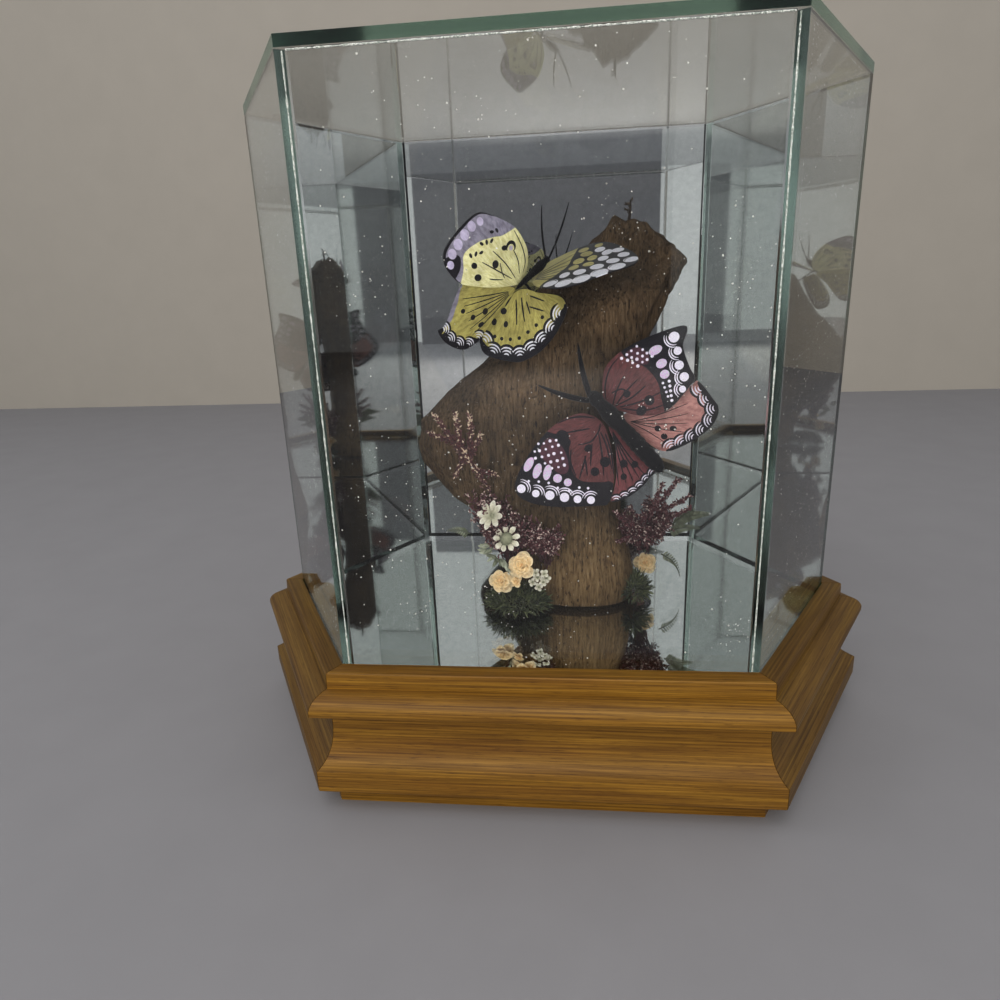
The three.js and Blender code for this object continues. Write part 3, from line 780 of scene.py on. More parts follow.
# Pink butterfly
# Dusty rose wings with maroon shading, black veins and spots, and a black outer third crowded with white
# dots, pearly teardrops and discs. The thick body, head and feelers are black and velvety.
rose_paint = wing_paint("rose wing", colour(108, 54, 54), colour(70, 31, 33))
black_paint = wing_paint("black wing", colour(26, 22, 30), colour(14, 12, 18), sheen=0.1)
white_paint = glitter_paint(
    "white wing", colour(232, 228, 236), colour(214, 204, 224), colour(246, 244, 248)
)
pearl_paint = glitter_paint(
    "pearl wing", colour(196, 150, 204), colour(222, 186, 226), colour(186, 214, 206), colour(216, 168, 196)
)
plum_paint = wing_paint("plum wing", colour(86, 40, 56), colour(58, 26, 38))
maroon_paint = wing_paint("maroon wing", colour(124, 64, 66), colour(84, 40, 44))
salmon_paint = wing_paint("salmon wing", colour(192, 140, 132), colour(150, 98, 94))

pink_left_fore = Wing(
    (18.6, -19, 113.4), (-10.4, -25, 92.1), (20.3, -24, 86.3),
    [(0, 0), (1.6, -4.5), (4.9, -7.5), (12.3, -9.2), (20, -8.4), (29.1, -5.6), (35.3, -2.1), (37.5, 1.8),
     (35.4, 7), (30.4, 12.4), (23.9, 17.4), (18.3, 21.3), (14.9, 22.9), (9.8, 19), (4.8, 12.5), (1.1, 4.7)],
)
veins = [
    [(1, -2.6), (4, -5.6), (8, -8), (12, -9)], [(0.8, 0), (3, 1.7), (7, 2.7), (11, 0.8)],
    [(2.4, 2.1), (3.7, 7.3), (7, 14.4)], [(6.9, 3.4), (9.5, 6.2), (12, 9.2)],
    [(11, 5.4), (14.5, 8), (17.7, 10.3)], [(11.4, 5.2), (13, 8), (14.8, 11.1)],
    [(13.8, 0.8), (16.5, 4), (17.9, 8.8)], [(3.2, 2.2), (6.6, 8.5), (10.5, 14.5)],
    [(1.4, 3.6), (3.8, 10), (7.6, 16.2)], [(4.5, -1), (9, -3.4), (13, -5.4)],
]
pink_left_fore.mark(BLACK, *[streak(vein, 0.6) for vein in veins])
outer_third = [
    (19.5, -12), (15.2, -7.4), (12, -2.2), (14.4, 0.4), (17.6, 6), (17.6, 11), (12.6, 15.6), (9.6, 18.2),
    (11, 26), (26, 24), (40, 12), (43, 0), (36, -8), (27, -12),
]
pink_left_fore.mark(BLACK, smooth_loop(outer_third), disc((13.5, -4.5), 2.3), disc((8.9, 3.9), 1.45, 0.85))
pink_left_fore.dots(BLACK, [(7.3, 11.1, 1.75), (12, 11.6, 1.5)])
plum_patch = [(17, -7), (15.6, -1), (18.4, 5.4), (21.6, 5), (23, -1), (22.4, -5.6)]
pink_left_fore.mark(PLUM, smooth_loop(plum_patch))
pink_left_fore.mark(WHITE, *scattered(5, (15.7, -5), (1.9, -0.9), (0.75, 2.15), 5, 0.5))
for centre, turn in (((28.1, -4.1), 24), ((27.2, -0.6), 33), ((24.8, 1.9), 40)):
    pink_left_fore.mark(PEARL, disc(centre, 2.7, 0.5, turn))
pink_left_fore.dots(PEARL, [(23.3, 5.6, 1.5), (21.4, 8.8, 1.35)])
specks = ((26.6, 5), (29, 2.6), (25.2, 8.2), (31.6, 0.4), (22.8, 11.4), (19.4, 12.6), (17.2, 14.6))
pink_left_fore.mark(WHITE, *[disc(speck, 0.45) for speck in specks])
edge_spots = [
    (35.2, 0.9, 1.5), (32.3, 5.2, 1.3), (28.9, 8.6, 1.6), (25.4, 12.2, 1.6), (22.3, 15.4, 1.35),
    (18.9, 18.4, 1.35),
]
pink_left_fore.ringed(edge_spots, (12, 2), (0.85, 1.6))

pink_left_hind = Wing(
    (21, -18.6, 111.9), (27.4, -22.5, 88.6), (36.5, -19, 96.7),
    [(0, 0), (6.7, 0.1), (15, -1.8), (20.2, -3.8), (24.8, -6.1), (24.8, -0.1), (22.7, 5.4), (20.3, 8.9),
     (18.4, 11.2), (11.5, 8.1), (4.8, 4.3)],
)
for lean in (-2.4, 0.2, 2.8, 5.2, 7.6):
    pink_left_hind.mark(BLACK, streak([(2, 0.6), (10, lean * 0.4), (20, lean)], 0.5))
pink_left_hind.dots(BLACK, [(13.3, 1.1, 1.4), (14.6, 4.7, 1.2), (17.6, 0, 1.1)])
pink_left_hind.mark(BLACK, margin_band(pink_left_hind.outline, 4, 8, 1.9))
pink_left_hind.scallops(4, 8, 6, (1.2, 2), 0.42, (6, 1), 0)

pink_right_fore = Wing(
    (20.9, -19, 118.5), (44.3, -24, 143.9), (46.8, -27.5, 127.4),
    [(0, 0), (1.4, -4.2), (4.3, -7.4), (8.6, -10.1), (15, -10), (22.2, -7.9), (30.9, -3.8), (35.2, -0.9),
     (34.6, 1), (30.6, 3.5), (27.6, 9.8), (26.4, 13.5), (23.1, 14.2), (15.9, 14.9), (10.8, 13.7), (5.7, 9.4),
     (2.3, 4.1)],
)
veins = [
    [(1, -2.4), (4, -5.8), (9, -8.6), (14, -9)], [(1.5, 0.4), (6, -2), (11, -3.6)],
    [(2.4, 1.4), (8, 3.4), (14, 4)], [(2.8, 2.6), (9, 6.4), (16, 9)], [(3, 3.4), (8, 9.4), (14, 12.6)],
    [(2, 1.4), (7, 0.6), (13.5, 0.6)], [(4, -2.6), (7.5, -1), (8.4, 2.4)],
]
pink_right_fore.mark(BLACK, *[streak(vein, 0.55) for vein in veins])
outer_third = [
    (18, -13), (15.4, -7.6), (17.8, -0.6), (17.4, 6), (14.2, 11.4), (13, 17), (29, 17), (34, 6), (38, -1),
    (33, -7), (25, -11),
]
pink_right_fore.mark(BLACK, smooth_loop(outer_third), disc((7.6, 1.3), 1.3), disc((11.5, 8.2), 1.7))
pink_right_fore.mark(BLACK, disc((7.2, 8.7), 1.9, 0.8))
plum_patch = [(16, -8), (17.6, -2), (19.6, -0.6), (21.4, -3), (20.4, -7)]
pink_right_fore.mark(PLUM, smooth_loop(plum_patch))
pink_right_fore.mark(WHITE, *scattered(4, (14.6, -8.2), (1.9, 0.4), (0.55, 1.9), 4, 0.5))
for centre, radius, squash in (((23.8, -1.9), 2.3, 0.62), ((22.3, 2.6), 1.8, 0.8), ((20.7, 5.8), 1.55, 0.9)):
    pink_right_fore.mark(PEARL, disc(centre, radius, squash, 20))
pink_right_fore.mark(WHITE, *[disc((20.2 - 0.9 * i, 8.4 + 1.25 * i), 0.5) for i in range(5)])
pink_right_fore.mark(WHITE, *[disc((18.4 - 0.6 * i, 7.4 + 1.4 * i), 0.42) for i in range(4)])
edge_spots = [(30.6, -0.6, 1.7), (28.5, 3.4, 1.3), (25.8, 7, 1.45), (24.4, 10.8, 1.45), (21.4, 13.2, 1.1)]
pink_right_fore.ringed(edge_spots, (8, 1), (0.75, 1.45))

pink_right_hind = Wing(
    (24.9, -18.6, 116.1), (55, -26.5, 118.3), (40.6, -20.5, 104.5),
    [(0.6, 0.6), (6.3, -1.2), (13.2, -2.6), (18.3, -5.2), (23.4, -8.8), (25.6, -10), (29.2, -4.8),
     (31.4, 0), (28.7, 5.6), (21.7, 10.6), (14.3, 13.3), (8.8, 10.7), (3.9, 5.4)],
)
for lean in (-3, 0.4, 3.6, 7):
    pink_right_hind.mark(BLACK, streak([(3, 2.6), (11, 2 + lean * 0.4), (22, lean)], 0.32))
pink_right_hind.mark(BLACK, streak([(3, 3), (9, 6.4), (15, 11)], 0.32))
pink_right_hind.mark(BLACK, disc((12, 5.1), 1.1), disc((17, 5.2), 1.15, 0.8), disc((13.9, 8), 1.1))
pink_right_hind.mark(BLACK, margin_band(pink_right_hind.outline, 5, 10, 3.6))
pink_right_hind.scallops(5, 10, 8, (1.2, 2.1, 3), 0.46, (10, 3), 0.5)

for wing, part, ground in (
    (pink_left_fore, "left forewing", rose_paint), (pink_right_fore, "right forewing", rose_paint),
    (pink_left_hind, "left hindwing", maroon_paint), (pink_right_hind, "right hindwing", salmon_paint),
):
    wing.build("pink", part, [ground, black_paint, white_paint, pearl_paint, plum_paint])


def velvet():
    material, tree = blank_material("black velvet")
    nap = cloudy(tree, own_place(tree), 2400, 4)
    tone = ramp(tree, nap, [(0.35, colour(4, 4, 6)), (0.7, colour(18, 16, 21))])
    return finished(material, tone, raised(tree, nap, 0.6, 0.0003), roughness=0.8, sheen_weight=0.06)


def gathered(parts):
    """Several meshes as one."""
    points, faces = [], []
    for more_points, more_faces in parts:
        shift = len(points)
        points += more_points
        faces += [tuple(i + shift for i in face) for face in more_faces]
    return points, faces


def arc(start, end, sag, steps=8):
    """Points from start to end with a sideways bow."""
    start, end, sag = Vector(start), Vector(end), Vector(sag)
    return [start.lerp(end, i / steps) + sag * math.sin(math.pi * i / steps) for i in range(steps + 1)]


BODY_RINGS = 60
FEELER_STEPS = 14
WIRE_RADIUS = 0.45


def butterfly_body(insect, tail, head, rows, feelers, wire, fuzz):
    """One turned shape, ringed towards the tail, with hairs, feelers and a wire under it."""
    tail, head = Vector(tail), Vector(head)
    way, side, up = steady_frame(head - tail)
    length = (head - tail).length
    shares = [row[0] for row in rows]
    radii = [row[1] for row in rows]
    path, girth = [], []
    for k in range(BODY_RINGS + 1):
        path.append(tail + way * length * k / BODY_RINGS)
        ringed = 1 + 0.05 * math.sin(k * 1.6) * (k < 32)
        girth.append(max(float(np.interp(k / BODY_RINGS, shares, radii)) * ringed, 0.05))
    parts = [tube(path, girth, 24)]
    for start, end, sag, thick in feelers:
        swell = [math.sin(math.pi * (0.3 + 0.7 * i / FEELER_STEPS)) ** 0.7 for i in range(FEELER_STEPS + 1)]
        parts.append(tube(arc(start, end, sag, FEELER_STEPS), [0.1 + thick * share for share in swell], 8))
    parts.append(tube([Vector(end) for end in wire], [WIRE_RADIUS, WIRE_RADIUS], 8))
    hairs_points, hairs_faces = [], []
    for _ in range(fuzz):
        share = dice.random() ** 0.8
        angle = dice.uniform(0, 2 * math.pi)
        radius = float(np.interp(share, shares, radii))
        out = side * math.cos(angle) + up * math.sin(angle)
        root = tail + way * length * share + out * radius * 0.95
        reach = dice.uniform(0.25, 0.6) * (1.7 if share > 0.55 else 0.8)
        tip = root + (out + way * dice.uniform(-0.9, 0.2)).normalized() * reach
        across = way.cross(out) * 0.05
        first = len(hairs_points)
        hairs_points += [root - across, root + across, tip]
        hairs_faces.append((first, first + 1, first + 2))
    points, faces = gathered(parts + [(hairs_points, hairs_faces)])
    node = f"{insect}_butterfly_body"
    piece(f"{insect} butterfly body", points, faces, [black_velvet], [node], crease=60)


black_velvet = velvet()
butterfly_body(
    "pink", (38.6, -23.4, 97.4), (14.2, -23.4, 124.6),
    [(0, 0), (0.015, 1.2), (0.03, 1.7), (0.1, 2.6), (0.35, 2.8), (0.52, 2.5), (0.57, 2.2), (0.63, 2.8),
     (0.74, 2.9), (0.82, 2.2), (0.85, 2), (0.91, 2.5), (0.97, 1.7), (1, 0)],
    [((14.8, -23.6, 122.2), (10.6, -22, 140.2), (-0.5, 0, -0.4), 0.85),
     ((14.2, -23.6, 121.6), (-2.6, -22, 126.9), (0, 0, -0.7), 0.85)],
    ((21.5, -22, 115.5), (19, -6, 113)), 2600,
)


# Yellow butterfly
# Olive-yellow wings with black veins, dashes and spots. The hindwings have a black scalloped edge with
# white crescents, the right forewing big white blotches on black, the left forewing a lavender-grey tip.
LAVENDER = 4
olive_paint = wing_paint("olive wing", colour(182, 172, 98), colour(138, 128, 62))
# The left forewing's ground is the olive painted paler and less saturated: painted sheen.
sheen_lit_olive_paint = wing_paint("olive wing with painted sheen", colour(238, 233, 182), colour(206, 199, 132))
pale_paint = glitter_paint("pale wing", colour(226, 226, 232), colour(204, 202, 214), colour(238, 238, 240))
lilac_paint = wing_paint("lilac wing", colour(206, 196, 220), colour(176, 166, 194))
grey_paint = wing_paint("lavender wing", colour(152, 147, 162), colour(110, 105, 122))

yellow_left_fore = Wing(
    (-8.3, -13, 159.4), (-19.2, -30, 180.1), (-26.6, -32, 161.9),
    [(0, 0), (1.6, -4.3), (6.4, -7.6), (12.5, -8.2), (17.7, -7.4), (24.4, -3.8), (28.9, 0), (30, 7.2),
     (29, 14.9), (26.4, 18), (22.6, 18.7), (17.6, 17.8), (12.5, 13.9), (7.5, 9.4), (2.9, 4.3)],
)
grey_tip = [
    (17, 21), (19.6, 15), (23.4, 11.4), (22.6, 5.4), (20, 0.4), (17.6, -3.4), (17, -10), (27, -6), (33, 0),
    (34, 9), (32, 18), (26, 22),
]
yellow_left_fore.mark(LAVENDER, smooth_loop(grey_tip))
yellow_left_fore.mark(BLACK, margin_band(yellow_left_fore.outline, 5, 11, 0.8))
dark_corner = [(20.4, 20), (20.8, 15.6), (23.6, 13), (26, 14.6), (27, 19), (24, 21)]
yellow_left_fore.mark(BLACK, smooth_loop(dark_corner))
for i in range(8):
    yellow_left_fore.mark(BLACK, disc((20.5 + 1.1 * math.sin(2.1 * i), -2 + 1.7 * i), 0.8, 0.6, 50 * i))
tip_spots = [
    (26.6, 1, 1.3), (27.6, 4.2, 1.6), (27.4, 7.6, 1.7), (26.9, 11.1, 1.7), (26.2, 14.4, 1.6),
    (24.2, 16.9, 1.3),
]
yellow_left_fore.dots(PEARL, tip_spots, 0.9)
veins = [
    [(16, -7), (9.5, -6.6), (4.6, -5.2), (2.2, -2.6)], [(11.4, -3.4), (7, -3), (3, -1.3)],
    [(11.9, 3), (9, 4), (6.5, 4.2)], [(10.8, 8.9), (9, 7.4), (6.6, 5)], [(17, 3), (10, 1.4), (3, 0.8)],
    [(17, 8), (10, 4.8), (4, 2)],
]
yellow_left_fore.mark(BLACK, *[streak(vein, 0.4) for vein in veins])
yellow_left_fore.mark(BLACK, crescent((12.6, -3), 1.7, 1.1, math.radians(-40), 120))
yellow_left_fore.mark(BLACK, disc((14.4, -1), 1.15, 0.7, 50))
yellow_left_fore.mark(PEARL, disc((12.5, -3), 0.75))
yellow_left_fore.mark(BLACK, disc((18.2, 10.8), 1.15, 0.8, 30), disc((12.9, 4.6), 1.35, 0.9))
yellow_left_fore.mark(BLACK, disc((14.4, 12), 1.4, 0.75, 40))

yellow_left_hind = Wing(
    (-10.1, -13, 157.5), (-32.8, -31, 145.5), (-22, -19, 143),
    [(0, 0), (9.2, -6.2), (15.2, -9.4), (20.2, -11.2), (24.3, -7), (27.1, -3.2), (29.5, -1), (31.7, -0.2),
     (30, 4.9), (25.1, 9.6), (20, 9.8), (17.2, 8.6), (9.1, 3.7)],
)
for lean in (-7, -4.4, -1.8, 1, 3.8, 6.4):
    yellow_left_hind.mark(BLACK, streak([(3, lean * 0.1), (11, lean * 0.5), (21, lean)], 0.38))
yellow_left_hind.mark(BLACK, disc((13.9, 0.9), 1.1), disc((16.6, 4.4), 1.2, 0.7))
yellow_left_hind.dots(BLACK, [(18.9, 0.6, 0.9), (21.8, -3, 0.8)])
yellow_left_hind.mark(LAVENDER, margin_band(yellow_left_hind.outline, 3, 6, 1.4))
yellow_left_hind.mark(BLACK, margin_band(yellow_left_hind.outline, 6, 11, 3.4))
yellow_left_hind.scallops(6, 11, 5, (1.1, 1.9, 2.7), 0.42, (10, 0), 0.9)

yellow_right_fore = Wing(
    (-6.7, -13, 159.3), (29.2, -24, 165.1), (4.6, -30, 156.3),
    [(2.8, 0.6), (2.5, -6), (3.2, -11), (6.2, -14.6), (16.2, -19.9), (24.5, -18.7), (34.1, -8.3), (38, 0),
     (36.4, 5.4), (29.8, 9), (25, 11.9), (21.6, 14), (15, 13.6), (7.6, 8.3)],
)
outer_half = [
    (16, -24), (14.6, -12), (14.4, -4), (11.4, 3), (8.2, 7), (9, 14), (22, 18), (33, 13), (42, 2), (39, -12),
    (28, -24),
]
yellow_right_fore.mark(BLACK, smooth_loop(outer_half))
for lean in (-14, -9, -5, -1, 3, 6):
    yellow_right_fore.mark(BLACK, streak([(4, -1 + lean * 0.2), (9, lean * 0.6), (15, lean)], 0.6))
edge_row = [
    (11.6, 8.4, 2.5), (16.6, 10.8, 2.9), (22.2, 10.4, 3), (27.4, 8, 2.9), (32.2, 4.8, 2.8), (35.8, 0, 2.4),
]
for s, t, radius in edge_row:
    yellow_right_fore.mark(WHITE, disc((s, t), radius, 0.95))
    yellow_right_fore.mark(BLACK, crescent((s, t), radius * 0.8, 0.35, towards((s, t), (18, -8)), 55))
second_row = [
    (15.4, 4.4, 2.1), (20.4, 4.6, 2.4), (25.6, 2.6, 2.5), (30, -0.8, 2.4), (32.6, -5.2, 2.2), (30, -9.8, 2.1)
]
for s, t, radius in second_row:
    yellow_right_fore.mark(WHITE, disc((s, t), radius, 0.85, dice.uniform(0, 90)))
inner_spots = [
    (17.2, -0.8, 2.2), (22, -1.2, 2.2), (26.2, -4.4, 2.2), (26.6, -9.2, 2.2), (17.8, -5.8, 2.4),
    (22.2, -6.4, 2.1), (19.4, -10.8, 2.4), (23.6, -12.6, 2.2), (17.4, -15.4, 2.3), (22.4, -16.8, 1.8),
]
for s, t, radius in inner_spots:
    yellow_right_fore.mark(GROUND if s < 22.5 else WHITE, disc((s, t), radius, 0.8, dice.uniform(0, 90)))

yellow_right_hind = Wing(
    (-8.4, -13, 157.1), (-12.1, -17, 134.7), (6.9, -19, 152),
    [(0, -0.2), (7.7, -6.5), (15.9, -11.2), (19.6, -11.1), (22.1, -9.1), (23.2, -4.4), (23.4, 0.1),
     (23, 4.4), (19.1, 10.6), (12.6, 15.5), (6, 17.6), (3.2, 16.8), (0.9, 14), (0.4, 7.2)],
)
dashes = [
    [(3.2, -0.6), (7, 0.4), (11.5, 1.3)], [(2.4, 1.2), (6, 2.4), (10.2, 3.9)], [(3.6, 3.2), (7.6, 5.4)],
    [(5.2, 4.6), (6.2, 10.1)], [(5.4, -6), (8.7, -8)], [(2.4, -2.6), (5.8, -3.9)], [(1.6, 4), (3, 9.5)],
]
yellow_right_hind.mark(BLACK, *[streak(dash, 0.55) for dash in dashes])
yellow_right_hind.mark(BLACK, disc((7.4, -4.2), 1.1), disc((11.2, -7), 1.15, 0.8))
yellow_right_hind.mark(BLACK, disc((11.6, -2.7), 1.05, 0.75))
yellow_right_hind.mark(BLACK, margin_band(yellow_right_hind.outline, 2, 11, 4.2))
inner_row = [
    (15, -8.4), (15.9, -6.2), (16.4, -3.6), (16.3, -0.4), (15.6, 2.8), (13.4, 5.6), (10.9, 8.1), (8.2, 9.8),
]
yellow_right_hind.mark(BLACK, *[disc(spot, 0.62) for spot in inner_row])
yellow_right_hind.scallops(2, 11, 8, (1.2, 2.2, 3.2), 0.54, (6, 0), 1.2)

# The left forewing takes the olive ground painted lighter for its sheen.
for wing, part, ground in (
    (yellow_left_fore, "left forewing", sheen_lit_olive_paint), (yellow_left_hind, "left hindwing", olive_paint),
    (yellow_right_fore, "right forewing", olive_paint), (yellow_right_hind, "right hindwing", olive_paint),
):
    wing.build("yellow", part, [ground, black_paint, pale_paint, lilac_paint, grey_paint])
butterfly_body(
    "yellow", (-9.6, -14.6, 157.4), (1.6, -15.6, 167),
    [(0, 0), (0.06, 0.5), (0.3, 1), (0.48, 1.1), (0.56, 1.3), (0.72, 1.6), (0.84, 1.2), (0.88, 0.9),
     (0.94, 1.1), (0.98, 0.8), (1, 0)],
    [((0.6, -15.5, 166), (-0.6, -13, 182.8), (-0.6, 0, 0), 0.24),
     ((1.4, -15.5, 166.4), (8, -13, 183.3), (0.5, 0, 0), 0.24)],
    ((-6.9, -14.8, 159.8), (0.5, 0, 149)), 1200,
)


# Daisies and white florets
# Two dried everlasting daisies and a cluster of four-petalled florets, pinned in front of the stump.
# The papery cream petals overlap around domed grey-green middles.
VIEWER = (-0.15, -0.9, 0.4)


def papery(name, deep, middle, pale):
    """Dried plant stuff, darker at the root of each petal or leaf and paler at its tip."""
    material, tree = blank_material(name)
    place = own_place(tree)
    tone = ramp(tree, attribute(tree, "tint", "Fac"), [(0.0, deep), (0.5, middle), (1.0, pale)])
    mottle = ramp(tree, cloudy(tree, place, 900, 4), [(0.3, colour(176, 168, 158)), (0.6, PURE_WHITE)])
    tone = blended(tree, 0.5, tone, mottle, "MULTIPLY")
    crinkle = raised(tree, cloudy(tree, place, 3000, 3), 0.3, 0.0003)
    return finished(material, tone, crinkle, roughness=0.7, sheen_weight=0.15)


def petal(length, width, cup, droop, rows=8, columns=6, ripple=0.06):
    """A round-tipped petal along x, its root at the origin, ridged down the middle, with rising edges."""
    points, faces, tints = [], [], []
    for i in range(rows + 1):
        along = i / rows
        rounding = max(0.0, (along - 0.55) / 0.45)
        half = width / 2 * min(1.0, 0.35 + 1.1 * along) * max(0.15, math.sqrt(1 - rounding * rounding))
        for j in range(columns + 1):
            side = 2 * j / columns - 1
            ridge = ripple * width * math.cos(3 * math.pi * side) * along
            rise = cup * side * side * half + ridge - droop * along * along
            points.append(Vector((length * along, side * half, rise)))
            tints.append(0.15 + 0.85 * along)
    for i in range(rows):
        for j in range(columns):
            low = i * (columns + 1) + j
            faces.append((low, low + 1, low + columns + 2, low + columns + 1))
    return points, faces, tints


def domed(radius, height, bumps, tint):
    """A dome made of many small bumps."""
    points, tints = [], []
    rings, spokes = 14, 36
    for i in range(rings + 1):
        rise = math.pi / 2 * i / rings
        for k in range(spokes):
            turn = 2 * math.pi * k / spokes
            swell = 1 + 0.07 * math.sin(bumps * turn + 3 * i) * math.cos(rise) + 0.05 * math.sin(2.2 * i)
            r = radius * math.cos(rise) * swell
            points.append(Vector((r * math.cos(turn), r * math.sin(turn), height * math.sin(rise) * swell)))
            tints.append(tint * (0.6 + 0.4 * i / rings))
    return points, ring_faces(rings + 1, spokes), tints


def turned(part, middle, facing, roll=0.0, tilt=0.0):
    """Tilt a part up from its plane, roll it about its upright, then stand the upright along facing."""
    points, faces, tints = part
    way, side, up = steady_frame(facing)
    stand = Matrix((side, up, way)).transposed()
    turn = stand @ Matrix.Rotation(roll, 3, "Z") @ Matrix.Rotation(-tilt, 3, "Y")
    return [Vector(middle) + turn @ p for p in points], faces, tints


def bunch(name, parts, material):
    """Several tinted parts joined as one piece, in place of the solid of the same name."""
    points, faces = gathered([part[:2] for part in parts])
    tints = [tint for part in parts for tint in part[2]]
    piece(name, points, faces, [material], [name.replace(" ", "_")], marks={"tint": tints})


def daisy(middle, facing, heart, petals, length, width, tilt):
    parts = [turned(domed(heart, heart * 0.75, 9, 0.12), middle, facing)]
    for i in range(petals):
        roll = 2 * math.pi * i / petals + dice.uniform(-0.08, 0.08)
        points, faces, tints = petal(length * dice.uniform(0.9, 1.08), width, 0.35, 0.25)
        points = [p + Vector((heart * 0.75, 0, 0.1)) for p in points]
        lift = tilt + dice.uniform(-0.08, 0.08)
        parts.append(turned((points, faces, tints), middle, facing, roll, lift))
    return parts


cream = papery("cream petals", colour(128, 132, 104), colour(204, 199, 176), colour(236, 232, 218))
upper_daisy = daisy((-19.6, -22, 81.4), (-0.4, -0.8, 0.5), 0.9, 8, 5, 2.5, 0.3)
bunch("daisy upper", upper_daisy, cream)
lower_daisy = daisy((-14.9, -22, 72.8), VIEWER, 2.3, 9, 3.3, 2.1, 0.05)
bunch("daisy lower", lower_daisy, cream)

floret_places = [
    (0, 0, 0), (2.4, -0.3, 1.6), (-1.8, -0.5, -1.6), (2, -0.6, -1.4), (0.4, -0.9, -3.2), (3.2, 0.2, -0.4),
    (-0.6, -0.4, 2),
]
florets = []
for x, y, z in floret_places:
    middle = (-4.2 + x, -21 + y, 57.6 + z)
    facing = (VIEWER[0] + 0.12 * x, VIEWER[1], VIEWER[2] + 0.12 * z)
    florets.append(turned(domed(0.45, 0.4, 5, 0.1), middle, facing))
    for i in range(4):
        florets.append(turned(petal(1.7, 1.5, 0.5, 0.1, 6, 4), middle, facing, math.pi / 2 * i + x, 0.25))
bunch("white florets", florets, cream)


# Roses
# Small dried roses, two open, one bud and one at the right of the stump. Each has many crinkled peach
# petals: the middle ones stand upright, the outer ones lie open.
def rose(middle, facing, radius, petals):
    parts = []
    for i in range(petals):
        spread = i / (petals - 1)
        length = radius * (0.5 + 0.5 * spread)
        width = radius * (0.85 + 0.3 * spread)
        points, faces, tints = petal(length, width, 0.4, 0.34 * length, 9, 10, 0.07)
        root = Vector((radius * (0.06 + 0.14 * spread), 0, radius * 0.12 * (1 - spread)))
        tilt = 1.4 - 1.3 * spread + dice.uniform(-0.1, 0.1)
        roll = 2.4 * i + dice.uniform(-0.2, 0.2)
        # The middle petals are darker: partly the rose's deeper colour at its heart and partly painted shade
        # between the petals.
        tints = [tint * (0.5 + 0.5 * spread) for tint in tints]
        parts.append(turned(([p + root for p in points], faces, tints), middle, facing, roll, tilt))
    return parts


peach = papery("peach petals", colour(210, 142, 76), colour(249, 216, 160), colour(253, 238, 204))
bunch("rose large", rose((-9.8, -20.6, 62), VIEWER, 4.5, 17), peach)
bunch("rose left", rose((-17.6, -19.6, 55.6), VIEWER, 4, 15), peach)
bunch("rose bud", rose((-11.8, -21.8, 56.4), VIEWER, 2.2, 9), peach)
bunch("rose right", rose((36, 2.6, 54), (0.1, -0.9, 0.4), 3.9, 15), peach)


# Dried heather
# Maroon sprays behind the flowers and at the right, and a red-gold sprig lying on the stump. Thin stems
# branch into twigs set with tiny pointed buds, some of them pale: partly faded flowers, partly painted
# highlights.
SPRIG_DEPTH = -17.2


def bud(at, way, length, width, tint):
    way, side, up = steady_frame(way)
    at = Vector(at)
    belly = at + way * length * 0.45
    girdle = [belly + side * width, belly + up * width, belly - side * width, belly - up * width]
    faces = [(0, 2, 1), (0, 3, 2), (0, 4, 3), (0, 1, 4), (5, 1, 2), (5, 2, 3), (5, 3, 4), (5, 4, 1)]
    return [at] + girdle + [at + way * length], faces, [tint] * 6


def stem(path, thick, tint):
    points, faces = tube(path, [thick * (1 - 0.6 * i / (len(path) - 1)) for i in range(len(path))], 5)
    return points, faces, [tint] * len(points)


def jitter(amount):
    return Vector((dice.uniform(-1, 1), dice.uniform(-1, 1), dice.uniform(-1, 1))) * amount


def twig(start, way, length, buds, flat=1.0, pale=0.17):
    """A thin twig with buds along it; pale is the share of buds that are pale, partly faded flowers and
    partly painted highlights.
    """
    start, way = Vector(start), Vector(way).normalized()
    end = start + way * length
    parts = [stem([start, start.lerp(end, 0.5) + jitter(0.15), end], 0.13, 0.1)]
    for i in range(buds):
        lean = jitter(1.0)
        lean.y *= flat
        faded_and_highlit = dice.random() < pale
        # Pale buds are partly faded flowers and partly painted highlights.
        tint = 0.95 if faded_and_highlit else dice.choice((0.15, 0.25, 0.35, 0.45, 0.55))
        tint += dice.uniform(-0.08, 0.08)
        at = start.lerp(end, (i + 0.6) / buds)
        parts.append(bud(at, way * 0.7 + lean, dice.uniform(1.0, 1.7), dice.uniform(0.26, 0.42), tint))
    return parts


def spray(foot, middle, reach, stems, twigs, buds):
    """Stems from one foot that fan out into an egg-shaped head."""
    foot = Vector(foot)
    parts = []
    for _ in range(stems):
        aim = jitter(1.0).normalized() * dice.uniform(0.55, 1.0)
        rise = aim.z * reach[2] * 0.8 + reach[2] * 0.2
        tip = Vector(middle) + Vector((aim.x * reach[0], aim.y * reach[1], rise))
        line = arc(foot + jitter(2.2), tip, jitter(1.2), 6)
        parts.append(stem(line, 0.26, 0.05))
        for k in range(twigs):
            share = 0.35 + 0.65 * (k + dice.random()) / twigs
            at = foot.lerp(tip, min(share, 1.0)) + jitter(0.3)
            way = (tip - foot).normalized() * 0.8 + jitter(0.9)
            parts += twig(at, way, dice.uniform(2.2, 4.2), buds)
    return parts


